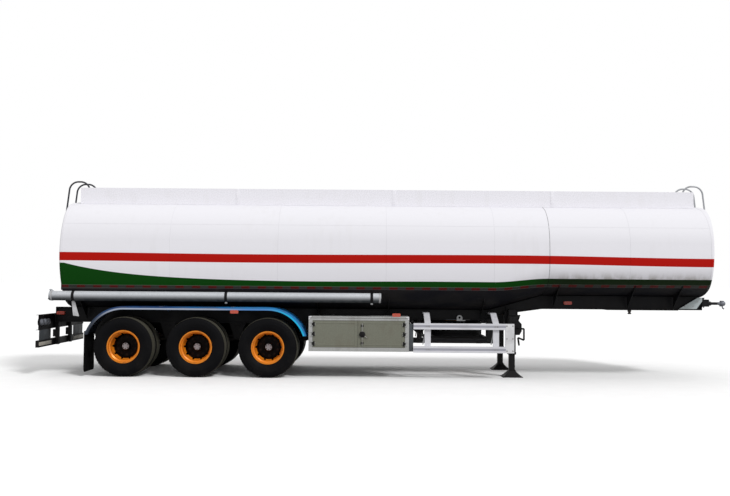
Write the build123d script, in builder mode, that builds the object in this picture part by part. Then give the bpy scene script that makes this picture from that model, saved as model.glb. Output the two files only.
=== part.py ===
from build123d import *
import os
from math import cos, pi, sqrt

os.makedirs("parts", exist_ok=True)

# Frame: +X runs to the front, +Y to the left, +Z up from the ground, in millimetres
# Clearances
seat_gap = 0.3  # between a piece and the curved face that carries it
pin_gap = 0.1  # radial, round a pin or a shaft
door_gap = 5.0  # round each door leaf

# Tank barrel: a rear part with a low belly, a cone in the belly and a raised front part
tank_top = 3250.0
waist_height = 2250.0
half_width = 1245.0
rear_belly = 1200.0
front_belly = 1480.0
crown_radius = 2600.0
side_radius = 2400.0
belly_radius = 2600.0
shoulder_radius = 760.0
bilge_radius = 540.0
rear_seam = -5950.0
cone_start = 1910.0
cone_end = 2910.0
front_seam = 5850.0
head_flange = 50.0  # straight part of each head
head_bulge = 220.0
knuckle_radius = 40.0

# Axles, wheels and tyres
axle_pitch = 1310.0
middle_axle = -3510.0
axle_places = [middle_axle + step * axle_pitch for step in (-1, 0, 1)]
axle_names = ("rear", "middle", "front")
tyre_radius = 542.0
tyre_width = 300.0
twin_pitch = 345.0
wheel_track_half = 925.0
bead_radius = 287.0
rim_width = 224.0
rim_flange = 300.0
rim_wall = 9.0
rim_edge = 8.0  # thickness of the rim's flanges
rim_outer_half = rim_width / 2
rim_well = bead_radius - 27
tyre_corners = 28
hand_holes = 10  # openings in each wheel disc
hand_circle = 226.0
hand_radius = 21.0
drum_radius = 200.0
drum_depth = 276.0
spindle_radius = 40.0

# Chassis
rail_centre = 470.0
rail_width = 100.0
rail_side = rail_centre + rail_width / 2
flange_plate = 12.0
web_plate = 10.0
web_face = rail_centre + web_plate / 2
rail_bottom = 950.0
neck_bottom = 1262.0
rail_rear = -6300.0
rail_shoulder = -1350.0
middle_bottom = 1040.0
rail_step = 1850.0
rail_front = 2250.0
rail_rise = 130.0
neck_front = 5950.0

# Valve cabinets, hose tubes and guards, on both sides
cabinet_rear = -1460.0
cabinet_front = 360.0
cabinet_bottom = 490.0
cabinet_top = 1120.0
cabinet_face = 1230.0
cabinet_depth = 480.0
cabinet_wall = 20.0
cabinet_border = 70.0
door_meeting = -568.0
door_plate = 22.0
hinge_stand = 10.0  # hinge pin's centre outside the cabinet's face
hinge_radius = 7.0
hinge_pin = 4.0
pipe_radius = 45.0
pipe_count = 5
pipe_pitch = 330.0
pipe_first = -1210.0
pipe_side = 240.0
pipe_height = 860.0
pipe_bend = 90.0
pipe_reach = 1080.0
tube_rear = -6170.0
tube_front = -150.0
tube_radius = 87.5
tube_wall = 5.5
tube_rise = 97.5  # between the mudguards and the hose tubes above them
guard_radius = 730.0
mud_top = tyre_radius + guard_radius
tube_height = mud_top + tube_rise + tube_radius
tube_side = 1162.0


def keep(piece, node):
    """Label a finished piece and write its file."""
    piece.part.label = node
    export_step(piece.part, f"parts/{node}.step")


def crown_height(y):
    """Height of the tank's crown at a distance from the centre line."""
    return tank_top - crown_radius + sqrt(crown_radius**2 - y**2)


def belly_height(y, belly):
    """Height of the tank's underside at a distance from the centre line."""
    return belly + belly_radius - sqrt(belly_radius**2 - y**2)


def barrel_section(belly, grow=0.0):
    """Cross section of the barrel: four large arcs crossed, with their corners rounded."""
    with Locations((0, tank_top - crown_radius)):
        Circle(crown_radius + grow)
    with Locations((0, belly + belly_radius)):
        Circle(belly_radius + grow, mode=Mode.INTERSECT)
    for side, turn in ((1, 180), (-1, 0)):
        with Locations(Location((side * (half_width - side_radius), waist_height, 0), (0, 0, turn))):
            Circle(side_radius + grow, mode=Mode.INTERSECT)
    fillet(vertices().sort_by(Axis.Y)[-2:], shoulder_radius + grow)
    fillet(vertices().sort_by(Axis.Y)[:2], bilge_radius + grow)


with BuildSketch() as rear_section:
    barrel_section(rear_belly)

with BuildSketch() as front_section:
    barrel_section(front_belly)

# The same sections grown by the seating gap, to cut what carries the tank to its curve
with BuildSketch() as rear_seat:
    barrel_section(rear_belly, seat_gap)

with BuildSketch() as front_seat:
    barrel_section(front_belly, seat_gap)

# Barrel
with BuildPart() as tank_rear:
    with BuildSketch(Plane.YZ.offset(rear_seam)):
        add(rear_section.sketch)
    extrude(amount=cone_start - rear_seam)
keep(tank_rear, "tank_rear_barrel")

with BuildPart() as tank_cone:
    with BuildSketch(Plane.YZ.offset(cone_start)):
        add(rear_section.sketch)
    with BuildSketch(Plane.YZ.offset(cone_end)):
        add(front_section.sketch)
    loft(ruled=True)
keep(tank_cone, "tank_cone")

with BuildPart() as tank_front:
    with BuildSketch(Plane.YZ.offset(cone_end)):
        add(front_section.sketch)
    extrude(amount=front_seam - cone_end)
keep(tank_front, "tank_front_barrel")

# Dished heads: a straight flange, a rounded knuckle and a shallow sphere
dish_radius = (half_width**2 + head_bulge**2) / (2 * head_bulge)


def dish_centre(direction, seam):
    """Place along X of the centre of a head's sphere."""
    return seam + direction * (head_flange + head_bulge - dish_radius)


def dish_place(direction, seam, belly, y, z):
    """Place along X of a head's outer face at a point seen from the end."""
    reach = sqrt(dish_radius**2 - y**2 - (z - (tank_top + belly) / 2) ** 2)
    return dish_centre(direction, seam) + direction * reach


heads = (
    # node, side along X, seam, section, belly
    ("tank_rear_head", -1, rear_seam, rear_section, rear_belly),
    ("tank_front_head", 1, front_seam, front_section, front_belly),
)
for node, direction, seam, section, belly in heads:
    with BuildPart() as head:
        with BuildSketch(Plane.YZ.offset(seam)):
            add(section.sketch)
        extrude(amount=direction * (head_flange + head_bulge))
        with Locations((dish_centre(direction, seam), 0, (tank_top + belly) / 2)):
            Sphere(dish_radius, mode=Mode.INTERSECT)
        dish = faces().filter_by(GeomType.SPHERE)[0]
        fillet(dish.edges(), knuckle_radius)
    keep(head, node)

# Spill coaming along both sides of the roof, closed at its ends
coaming_half = 550.0
coaming_sheet = 6.0
coaming_top = 3500.0
coaming_lip = 40.0
coaming_rear = -5860.0
coaming_front = 5790.0
coaming_end_top = 3380.0
with BuildPart() as coaming:
    with BuildSketch(Plane.YZ.offset(coaming_rear)):
        for side in (-1, 1):
            foot = crown_height(coaming_half - coaming_sheet) + seat_gap
            with Locations((side * (coaming_half - coaming_sheet / 2), foot)):
                Rectangle(coaming_sheet, coaming_top - foot, align=(Align.CENTER, Align.MIN))
            with Locations((side * (coaming_half - coaming_lip / 2), coaming_top)):
                Rectangle(coaming_lip, coaming_sheet, align=(Align.CENTER, Align.MAX))
    extrude(amount=coaming_front - coaming_rear)
    end_half = coaming_half - coaming_sheet - seat_gap
    for end in (coaming_rear, coaming_front - coaming_sheet):
        with BuildSketch(Plane.YZ.offset(end)):
            foot = tank_top + seat_gap
            with Locations((0, foot)):
                Rectangle(2 * end_half, coaming_end_top - foot, align=(Align.CENTER, Align.MIN))
        extrude(amount=coaming_sheet)
keep(coaming, "spill_coaming")

# Walkways beside the manholes
walkway_inner = 320.0
walkway_outer = 530.0
walkway_plate = 25.0
walkway_rear = -5700.0
walkway_front = 5650.0
with BuildPart() as walkways:
    with BuildSketch(Plane.YZ.offset(walkway_rear)):
        for side in (-1, 1):
            foot = crown_height(walkway_inner) + seat_gap
            with Locations((side * (walkway_inner + walkway_outer) / 2, foot)):
                Rectangle(walkway_outer - walkway_inner, walkway_plate, align=(Align.CENTER, Align.MIN))
    extrude(amount=walkway_front - walkway_rear)
keep(walkways, "walkways")

# Manholes: neck, cover plate and fill collar, each with a hinged fill lid
manhole_places = (-4700.0, -2350.0, 0.0, 2350.0, 4700.0)
neck_radius = 270.0
cover_radius = 290.0
neck_top = 3310.0
cover_plate = 14.0
collar_radius = 140.0
fill_radius = 125.0
collar_height = 46.0
fill_depth = 70.0
lid_radius = 152.0
lid_plate = 14.0
lid_hinge_reach = 172.0  # hinge pin's place behind the lid's centre
lid_pin = 6.0
lid_barrel = 12.0
lid_barrel_half = 40.0
lid_lug_gap = 1.0
lid_lug = 12.0
cover_top = neck_top + cover_plate
collar_top = cover_top + collar_height
lid_foot = collar_top + seat_gap
lid_pin_height = lid_foot + lid_plate
with BuildPart() as manholes:
    for place in manhole_places:
        with Locations((place, 0, tank_top - 40)):
            Cylinder(neck_radius, neck_top - tank_top + 40, align=(Align.CENTER, Align.CENTER, Align.MIN))
    with Locations((0, 0, tank_top - crown_radius)):
        Cylinder(
            crown_radius + seat_gap,
            front_seam - rear_seam,
            rotation=(0, 90, 0),
            mode=Mode.SUBTRACT,
        )
    for place in manhole_places:
        with Locations((place, 0, neck_top)):
            Cylinder(cover_radius, cover_plate, align=(Align.CENTER, Align.CENTER, Align.MIN))
        with Locations((place, 0, cover_top)):
            Cylinder(collar_radius, collar_height, align=(Align.CENTER, Align.CENTER, Align.MIN))
        for side in (-1, 1):
            lug_y = side * (lid_barrel_half + lid_lug_gap + lid_lug / 2)
            with BuildSketch(Plane.XZ.offset(-lug_y)):
                with Locations((place - lid_hinge_reach, lid_pin_height)):
                    Circle(lid_barrel)
                with Locations((place - lid_hinge_reach, cover_top)):
                    Rectangle(2 * lid_barrel, lid_pin_height - cover_top, align=(Align.CENTER, Align.MIN))
            extrude(amount=lid_lug / 2, both=True)
        with Locations((place - lid_hinge_reach, 0, lid_pin_height)):
            Cylinder(lid_pin, 2 * (lid_barrel_half + lid_lug_gap + lid_lug), rotation=(90, 0, 0))
        with Locations((place, 0, collar_top)):
            Cylinder(
                fill_radius,
                fill_depth,
                align=(Align.CENTER, Align.CENTER, Align.MAX),
                mode=Mode.SUBTRACT,
            )
keep(manholes, "manholes")

for number, place in enumerate(manhole_places, start=1):
    with BuildPart() as lid:
        with BuildSketch(Plane.XY.offset(lid_foot)):
            with Locations((place, 0)):
                Circle(lid_radius)
        extrude(amount=lid_plate)
        with BuildSketch(Plane.XY.offset(lid_foot + lid_plate)):
            with Locations((place, 0)):
                Circle(lid_radius - 30)
        extrude(amount=16, taper=30)
        with BuildSketch(Plane.XZ):
            with Locations((place - lid_hinge_reach, lid_pin_height)):
                Circle(lid_barrel)
            with Locations((place - lid_hinge_reach, lid_pin_height)):
                Rectangle(lid_hinge_reach - lid_radius + 20, 10, align=(Align.MIN, Align.MIN))
        extrude(amount=lid_barrel_half, both=True)
        with Locations((place - lid_hinge_reach, 0, lid_pin_height)):
            Cylinder(lid_pin + pin_gap, 3 * lid_barrel_half, rotation=(90, 0, 0), mode=Mode.SUBTRACT)
    keep(lid, f"fill_lid_{number}")

# Ladders on both heads, each ending in two hoops over the roof
ladder_half = 225.0
stringer_radius = 16.0
rung_radius = 12.0
rung_pitch = 280.0
ladder_stand = 180.0  # stringer's centre outside the end of the dish
hoop_rise = 145.0  # over the spill coaming
hoop_top = coaming_top + hoop_rise
hoop_radius = 175.0
with BuildPart() as ladders:
    for direction, seam, belly in ((-1, rear_seam, rear_belly), (1, front_seam, front_belly)):
        apex = seam + direction * (head_flange + head_bulge)
        outer = apex + direction * (ladder_stand - 100)
        foot_height = belly + 350
        lean_start = 2650.0
        lean_end = 3090.0
        lean_place = apex + direction * 15
        hoop_start = apex - direction * 48
        hoop_end = apex - direction * 425
        for side in (-1, 1):
            with BuildLine(Plane.XZ.offset(-side * ladder_half)) as stringer:
                FilletPolyline(
                    (outer, foot_height),
                    (outer, lean_start),
                    (lean_place, lean_end),
                    (hoop_start, hoop_top),
                    (hoop_end, hoop_top),
                    (hoop_end, crown_height(ladder_half - stringer_radius) + seat_gap),
                    radius=(220, 120, hoop_radius, hoop_radius),
                )
            with BuildSketch(Plane(origin=stringer.line @ 0, z_dir=stringer.line % 0)):
                Circle(stringer_radius)
            sweep(path=stringer.line)
            for height in (foot_height + 60, lean_start - 60):
                towards_middle = stringer_radius if height < (tank_top + belly) / 2 else -stringer_radius
                face = dish_place(
                    direction, seam, belly, ladder_half - stringer_radius, height + towards_middle
                )
                start = face + direction * seat_gap
                with BuildSketch(Plane.YZ.offset(start)):
                    with Locations((side * ladder_half, height)):
                        Circle(stringer_radius - 4)
                extrude(amount=outer - start)
        count = int((lean_end - 40 - foot_height - 120) // rung_pitch)
        for step in range(count + 1):
            height = foot_height + 120 + step * rung_pitch
            share = max(0.0, (height - lean_start) / (lean_end - lean_start))
            with Locations((outer + share * (lean_place - outer), 0, height)):
                Cylinder(rung_radius, 2 * ladder_half, rotation=(90, 0, 0))
keep(ladders, "ladders")

# Chassis rails under the rear barrel and the cone
rear_rail_top = belly_height(rail_centre - rail_width / 2, rear_belly) - seat_gap
front_rail_top = belly_height(rail_centre - rail_width / 2, front_belly) - seat_gap
step_share = (rail_front - cone_start) / (cone_end - cone_start)
step_top = rear_rail_top + step_share * (front_rail_top - rear_rail_top)

rear_rail_corners = (
    (rail_rear, rail_bottom),
    (rail_shoulder, rail_bottom),
    (rail_shoulder + 250, middle_bottom),
    (rail_step, middle_bottom),
    (rail_front, middle_bottom + rail_rise),
    (rail_front, step_top),
    (cone_start, rear_rail_top),
    (rail_rear, rear_rail_top),
)
neck_rail_corners = (
    (rail_front, middle_bottom + rail_rise),
    (cone_end, neck_bottom),
    (neck_front, neck_bottom),
    (neck_front, front_rail_top - 60),
    (neck_front - 120, front_rail_top),
    (cone_end, front_rail_top),
    (rail_front, step_top),
)
# Towing lugs on the rear rails' outer faces
lug_place = 1350.0
lug_foot = 1025.0
lug_width = 110.0
lug_thickness = 16.0
for node, corners in (("chassis_rails", rear_rail_corners), ("neck_rails", neck_rail_corners)):
    with BuildPart() as rails:
        with BuildSketch(Plane.XZ.offset(rail_centre)):
            Polygon(*corners, align=None)
        extrude(amount=web_plate / 2, both=True)
        with BuildSketch(Plane.XZ.offset(rail_centre)):
            Polygon(*corners, align=None)
            offset(amount=-flange_plate, mode=Mode.SUBTRACT)
        extrude(amount=rail_width / 2, both=True)
        if node == "chassis_rails":
            with BuildSketch(Plane.XZ.offset(rail_side)):
                with Locations((lug_place, lug_foot + lug_width / 2)):
                    Circle(lug_width / 2)
                with Locations((lug_place, lug_foot)):
                    Rectangle(lug_width, lug_width / 2, align=(Align.CENTER, Align.MIN))
                with Locations((lug_place, lug_foot)):
                    Rectangle(lug_width, lug_thickness, align=(Align.MIN, Align.MIN))
                with Locations((lug_place, lug_foot + lug_width / 2 + 8)):
                    Circle(lug_width / 5, mode=Mode.SUBTRACT)
            extrude(amount=lug_thickness)
        mirror(about=Plane.XZ)
    keep(rails, node)

# Cross members between the rails
member_places = (
    # place along X, foot, belly above
    (-5990.0, rail_bottom, rear_belly),
    (-5475.0, rail_bottom, rear_belly),
    (-4165.0, rail_bottom, rear_belly),
    (-2855.0, rail_bottom, rear_belly),
    (-1545.0, rail_bottom, rear_belly),
    (-120.0, middle_bottom, rear_belly),
    (1700.0, middle_bottom, rear_belly),
    (3130.0, neck_bottom, front_belly),
    (5400.0, neck_bottom, front_belly),
)
member_width = 80.0
member_plate = 8.0
member_inset = 20.0
with BuildPart() as cross_members:
    for place, rail_foot, belly in member_places:
        foot = rail_foot + member_inset
        top = belly - seat_gap
        with BuildSketch(Plane.YZ.offset(place)):
            with Locations((0, foot)):
                Rectangle(2 * rail_centre - web_plate, top - foot, align=(Align.CENTER, Align.MIN))
        extrude(amount=member_plate / 2, both=True)
        for height in (foot, top - member_plate):
            with Locations((place, 0, height)):
                Box(
                    member_width,
                    2 * rail_centre - web_plate,
                    member_plate,
                    align=(Align.CENTER, Align.CENTER, Align.MIN),
                )
keep(cross_members, "cross_members")

# Outriggers from the rails to the tank's flanks
outrigger_reach = 1040.0
outrigger_plate = 10.0
outriggers_table = (
    # place along X, foot at the rail, tip's height, seat
    (-5700.0, rail_bottom + 60, 1400.0, rear_seat),
    (-1330.0, middle_bottom + 40, 1400.0, rear_seat),
    (0.0, middle_bottom + 40, 1400.0, rear_seat),
    (1750.0, middle_bottom + 40, 1400.0, rear_seat),
    (3130.0, neck_bottom + 20, 1700.0, front_seat),
    (4530.0, neck_bottom + 20, 1700.0, front_seat),
    (5400.0, neck_bottom + 20, 1700.0, front_seat),
)
with BuildPart() as outriggers:
    for place, foot, tip, seat in outriggers_table:
        with BuildSketch(Plane.YZ.offset(place)):
            with BuildLine():
                Polyline(
                    (rail_centre + rail_width / 2, foot),
                    (outrigger_reach, tip),
                    (outrigger_reach, waist_height),
                    (rail_centre + rail_width / 2, waist_height),
                    close=True,
                )
            make_face()
            add(seat.sketch, mode=Mode.SUBTRACT)
        extrude(amount=outrigger_plate / 2, both=True)
    mirror(about=Plane.XZ)
keep(outriggers, "outriggers")

# Coupler plate under the neck, and the kingpin
coupler_rear = 4150.0
coupler_front = 5500.0
coupler_half = 510.0
coupler_thickness = 10.0
kingpin_place = 4730.0
kingpin_flange = 12.0
kingpin_flange_radius = 90.0
kingpin_spigot = 42.0
kingpin_collar = 36.5
kingpin_neck = 25.4
kingpin_foot = 35.7
with BuildPart() as coupler_plate:
    with Locations(((coupler_rear + coupler_front) / 2, 0, neck_bottom)):
        Box(
            coupler_front - coupler_rear,
            2 * coupler_half,
            coupler_thickness,
            align=(Align.CENTER, Align.CENTER, Align.MAX),
        )
    lip_rise = 60.0
    with BuildSketch(Plane.XZ):
        with BuildLine():
            Polyline(
                (coupler_front, neck_bottom),
                (coupler_front, neck_bottom - coupler_thickness),
                (coupler_front + 250, neck_bottom - coupler_thickness + lip_rise),
                (coupler_front + 250, neck_bottom + lip_rise),
                close=True,
            )
        make_face()
    extrude(amount=rail_centre - rail_width / 2 - seat_gap, both=True)
    with Locations((kingpin_place, 0, neck_bottom)):
        Cylinder(kingpin_spigot + pin_gap, 4 * coupler_thickness, mode=Mode.SUBTRACT)
keep(coupler_plate, "coupler_plate")

kingpin_top = neck_bottom - coupler_thickness
with BuildPart() as kingpin:
    with BuildSketch(Plane.XZ):
        with BuildLine():
            Polyline(
                (0, neck_bottom + kingpin_flange),
                (kingpin_flange_radius, neck_bottom + kingpin_flange),
                (kingpin_flange_radius, neck_bottom),
                (kingpin_spigot, neck_bottom),
                (kingpin_spigot, kingpin_top),
                (kingpin_collar, kingpin_top),
                (kingpin_collar, kingpin_top - 44),
                (kingpin_neck, kingpin_top - 44),
                (kingpin_neck, kingpin_top - 72),
                (kingpin_foot, kingpin_top - 72),
                (kingpin_foot, kingpin_top - 87),
                (kingpin_foot - 5, kingpin_top - 92),
                (0, kingpin_top - 92),
                close=True,
            )
        make_face()
    revolve(axis=Axis.Z)
kingpin.part = kingpin.part.moved(Location((kingpin_place, 0, 0)))
keep(kingpin, "kingpin")

# Landing legs and their drive
leg_place = 2310.0
leg_centre = 690.0
leg_outer = 130.0
leg_inner = 104.0
leg_top = 1250.0
leg_joint = 420.0
foot_height = 70.0
foot_plate = 12.0
foot_flare = 40.0
foot_length = 370.0
foot_width = 340.0
with BuildPart() as landing_legs:
    for side in (-1, 1):
        with Locations((leg_place, side * leg_centre, leg_joint)):
            Box(leg_outer, leg_outer, leg_top - leg_joint, align=(Align.CENTER, Align.CENTER, Align.MIN))
        with Locations((leg_place, side * leg_centre, foot_height)):
            Box(leg_inner, leg_inner, leg_joint - foot_height, align=(Align.CENTER, Align.CENTER, Align.MIN))
        with BuildSketch(Plane.XY.offset(foot_plate)):
            with Locations((leg_place, side * leg_centre)):
                Rectangle(foot_length - 40, foot_width - 40)
        with BuildSketch(Plane.XY.offset(foot_height + foot_flare)):
            with Locations((leg_place, side * leg_centre)):
                Rectangle(leg_outer, leg_outer)
        loft()
        with Locations((leg_place, side * leg_centre, 0)):
            Box(foot_length, foot_width, foot_plate, align=(Align.CENTER, Align.CENTER, Align.MIN))
        inner_y = rail_centre + rail_width / 2
        outer_y = leg_centre - leg_outer / 2
        with Locations((leg_place, side * (inner_y + outer_y) / 2, leg_top - 30)):
            Box(leg_outer + 120, outer_y - inner_y, 260, align=(Align.CENTER, Align.CENTER, Align.MAX))
keep(landing_legs, "landing_legs")

drive_height = 920.0
gearbox_height = 1010.0
crank_reach = 1180.0
with BuildPart() as leg_drive:
    with Locations((leg_place, 0, drive_height)):
        Cylinder(16, 2 * (leg_centre - leg_outer / 2), rotation=(90, 0, 0))
    with Locations((leg_place, -leg_centre - leg_outer / 2, gearbox_height)):
        Box(170, 90, 230, align=(Align.CENTER, Align.MAX, Align.CENTER))
    with BuildLine() as crank_path:
        FilletPolyline(
            (leg_place + 50, -leg_centre - leg_outer / 2 - 60, drive_height),
            (leg_place + 50, -crank_reach + 60, drive_height),
            (leg_place + 140, -crank_reach, drive_height),
            (leg_place + 140, -crank_reach, drive_height - 205),
            (leg_place + 30, -crank_reach, drive_height - 160),
            (leg_place + 52, -crank_reach, drive_height - 303),
            radius=18,
        )
    with BuildSketch(Plane(origin=crank_path.line @ 0, z_dir=crank_path.line % 0)):
        Circle(11)
    sweep(path=crank_path.line)
keep(leg_drive, "landing_gear_drive")

# Side guards: two rails on bent posts and a tall end plate, one guard on each side
guard_rear = 440.0
guard_front = 2105.0
guard_face = 1245.0
guard_depth = 40.0
guard_rails = ((480.0, 595.0), (900.0, 1010.0))
guard_posts = (700.0, 1940.0)
guard_post_width = 110.0
guard_post_plate = 30.0
guard_end_width = 160.0
guard_arm_height = 1190.0
guard_bend = 360.0
guard_back = -guard_face + guard_depth
guard_knee = (guard_back + guard_bend, guard_arm_height)
with BuildPart() as side_guards:
    for low, high in guard_rails:
        with Locations((guard_rear, -guard_face, low)):
            Box(
                guard_front + guard_end_width - guard_rear,
                guard_depth,
                high - low,
                align=(Align.MIN, Align.MIN, Align.MIN),
            )
    for place in guard_posts:
        with BuildSketch(Plane.YZ.offset(place)):
            Polygon(
                (guard_back, guard_rails[0][0]),
                (guard_back, guard_rails[1][1]),
                guard_knee,
                (-web_face, guard_arm_height),
                (-web_face, guard_arm_height - guard_post_plate),
                (guard_knee[0] + 12, guard_arm_height - guard_post_plate),
                (guard_back + guard_post_plate, guard_rails[1][1] - 12),
                (guard_back + guard_post_plate, guard_rails[0][0]),
                align=None,
            )
        extrude(amount=guard_post_width / 2, both=True)
    with Locations((guard_front, -guard_face, guard_rails[0][0])):
        Box(
            guard_end_width,
            guard_depth,
            guard_rails[1][1] - guard_rails[0][0],
            align=(Align.MIN, Align.MIN, Align.MIN),
        )
    mirror(about=Plane.XZ)
keep(side_guards, "side_guards")

# Valve cabinets: open-fronted boxes with a border round the doors and fixed hinge pins
door_foot = cabinet_bottom + cabinet_border
door_head = cabinet_top - cabinet_border
rear_hinge = cabinet_rear + cabinet_border
front_hinge = cabinet_front - cabinet_border
hinge_heights = (630.0, 805.0, 980.0)
cabinet_arms = (-1045.0, -55.0)  # arms that hang the cabinets from the rails' webs
cabinet_arm_width = 60.0
cabinet_arm_height = 40.0
sleeve_half = 24.0
lug_gap = 2.0
lug_height = 12.0
doors_table = (
    # name, hinge place, direction of the leaf from its hinge, far edge
    ("rear", rear_hinge, 1, door_meeting - door_gap / 2),
    ("front", front_hinge, -1, door_meeting + door_gap / 2),
)
with BuildPart() as valve_cabinets:
    middle = (cabinet_rear + cabinet_front) / 2
    with Locations((middle, -cabinet_face, cabinet_bottom)):
        Box(
            cabinet_front - cabinet_rear,
            cabinet_depth,
            cabinet_top - cabinet_bottom,
            align=(Align.CENTER, Align.MIN, Align.MIN),
        )
    with Locations((middle, -cabinet_face + cabinet_wall, cabinet_bottom + cabinet_wall)):
        Box(
            cabinet_front - cabinet_rear - 2 * cabinet_wall,
            cabinet_depth - 2 * cabinet_wall,
            cabinet_top - cabinet_bottom - 2 * cabinet_wall,
            align=(Align.CENTER, Align.MIN, Align.MIN),
            mode=Mode.SUBTRACT,
        )
    with Locations((middle, -cabinet_face, door_foot)):
        Box(
            front_hinge - rear_hinge,
            2 * cabinet_wall,
            door_head - door_foot,
            align=(Align.CENTER, Align.CENTER, Align.MIN),
            mode=Mode.SUBTRACT,
        )
    for name, hinge, lead, far_edge in doors_table:
        for height in hinge_heights:
            with Locations((hinge, -cabinet_face - hinge_stand, height)):
                Cylinder(hinge_pin, 2 * (sleeve_half + lug_gap + lug_height))
            for end in (-1, 1):
                lug_z = height + end * (sleeve_half + lug_gap + lug_height / 2)
                with Locations((hinge, -cabinet_face - hinge_stand, lug_z)):
                    Cylinder(hinge_radius, lug_height)
                with Locations((hinge - lead * 20, -cabinet_face, lug_z)):
                    Box(40, hinge_stand, lug_height, align=(Align.CENTER, Align.MAX, Align.CENTER))
    for place in cabinet_arms:
        with Locations((place, -web_face, cabinet_top)):
            Box(
                cabinet_arm_width,
                cabinet_face - cabinet_depth - web_face + cabinet_wall / 2,
                cabinet_arm_height,
                align=(Align.CENTER, Align.MAX, Align.MAX),
            )
    mirror(about=Plane.XZ)
    for number in range(pipe_count):
        with Locations((pipe_first + number * pipe_pitch, -cabinet_face + cabinet_depth, pipe_height)):
            Cylinder(
                pipe_radius + seat_gap,
                4 * cabinet_wall,
                rotation=(90, 0, 0),
                mode=Mode.SUBTRACT,
            )
keep(valve_cabinets, "valve_cabinets")

for side_name in ("right", "left"):
    for name, hinge, lead, far_edge in doors_table:
        with BuildPart() as door:
            near_edge = hinge + lead * door_gap
            with Locations(((near_edge + far_edge) / 2, -cabinet_face, (door_foot + door_head) / 2)):
                Box(
                    abs(far_edge - near_edge),
                    door_plate,
                    door_head - door_foot - 2 * door_gap,
                    align=(Align.CENTER, Align.MIN, Align.CENTER),
                )
            for height in hinge_heights:
                with Locations((hinge, -cabinet_face - hinge_stand, height)):
                    Cylinder(hinge_radius, 2 * sleeve_half)
                with Locations((hinge + lead * 30, -cabinet_face, height)):
                    Box(60, hinge_stand - 2, 2 * sleeve_half, align=(Align.CENTER, Align.MAX, Align.CENTER))
                with Locations((hinge, -cabinet_face - hinge_stand, height)):
                    Cylinder(hinge_pin + pin_gap, 3 * sleeve_half, mode=Mode.SUBTRACT)
            if name == "front":
                with Locations((door_meeting + 80, -cabinet_face, 800)):
                    Box(50, 12, 300, align=(Align.CENTER, Align.MAX, Align.CENTER))
            if side_name == "left":
                mirror(about=Plane.XZ, mode=Mode.REPLACE)
        keep(door, f"{name}_door_{side_name}")

# Hose tubes with a hinged cap at the rear end
cap_plate = 12.0
cap_hinge_rise = 24.0
cap_pin = 5.0
cap_barrel = 10.0
cap_lug = 10.0
cap_sleeve_half = 20.0
cap_hinge_height = tube_height + tube_radius + cap_hinge_rise
cap_hinge_place = tube_rear - cap_barrel
with BuildPart() as hose_tubes:
    with BuildSketch(Plane.YZ.offset(tube_rear)):
        with Locations((-tube_side, tube_height)):
            Circle(tube_radius)
            Circle(tube_radius - tube_wall, mode=Mode.SUBTRACT)
    extrude(amount=tube_front - tube_rear)
    with BuildSketch(Plane.YZ.offset(tube_front - tube_wall)):
        with Locations((-tube_side, tube_height)):
            Circle(tube_radius)
    extrude(amount=tube_wall)
    for end in (-1, 1):
        lug_y = -tube_side + end * (cap_sleeve_half + lug_gap + cap_lug / 2)
        with BuildSketch(Plane.XZ.offset(-lug_y)):
            Polygon(
                (cap_hinge_place - cap_barrel, cap_hinge_height),
                (cap_hinge_place, cap_hinge_height - cap_barrel),
                (tube_rear + 30, tube_height + tube_radius - 6),
                (tube_rear + 60, tube_height + tube_radius - 6),
                (cap_hinge_place + cap_barrel, cap_hinge_height + cap_barrel),
                (cap_hinge_place, cap_hinge_height + cap_barrel),
                align=None,
            )
        extrude(amount=cap_lug / 2, both=True)
    with Locations((cap_hinge_place, -tube_side, cap_hinge_height)):
        Cylinder(cap_pin, 2 * (cap_sleeve_half + lug_gap + cap_lug), rotation=(90, 0, 0))
    mirror(about=Plane.XZ)
keep(hose_tubes, "hose_tubes")

for side_name in ("right", "left"):
    with BuildPart() as cap:
        with BuildSketch(Plane.YZ.offset(tube_rear - seat_gap)):
            with Locations((-tube_side, tube_height)):
                Circle(tube_radius)
        extrude(amount=-cap_plate)
        with Locations((cap_hinge_place, -tube_side, cap_hinge_height)):
            Cylinder(cap_barrel, 2 * cap_sleeve_half, rotation=(90, 0, 0))
        with Locations((tube_rear - seat_gap - cap_plate / 2, -tube_side, cap_hinge_height)):
            Box(
                cap_plate,
                2 * cap_sleeve_half,
                cap_hinge_rise + 20,
                align=(Align.CENTER, Align.CENTER, Align.MAX),
            )
        with Locations((cap_hinge_place, -tube_side, cap_hinge_height)):
            Cylinder(cap_pin + pin_gap, 3 * cap_sleeve_half, rotation=(90, 0, 0), mode=Mode.SUBTRACT)
        if side_name == "left":
            mirror(about=Plane.XZ, mode=Mode.REPLACE)
    keep(cap, f"hose_cap_{side_name}")

# Brackets that hang the hose tubes from the tank's flanks
strap_places = (-5750.0, -2970.0, -320.0)
strap_width = 50.0
strap_plate = 4.0
with BuildPart() as hose_brackets:
    for place in strap_places:
        with BuildSketch(Plane.YZ.offset(place)):
            with Locations((-tube_side, tube_height)):
                Circle(tube_radius + seat_gap + strap_plate)
            Polygon(
                (-tube_side + 10, tube_height + 60),
                (-outrigger_reach + 100, tube_height + 160),
                (-outrigger_reach + 100, tube_height - 60),
                (-tube_side + 10, tube_height - 80),
                align=None,
            )
            add(rear_seat.sketch, mode=Mode.SUBTRACT)
            with Locations((-tube_side, tube_height)):
                Circle(tube_radius + seat_gap, mode=Mode.SUBTRACT)
        extrude(amount=strap_width / 2, both=True)
    mirror(about=Plane.XZ)
keep(hose_brackets, "hose_brackets")

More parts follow.
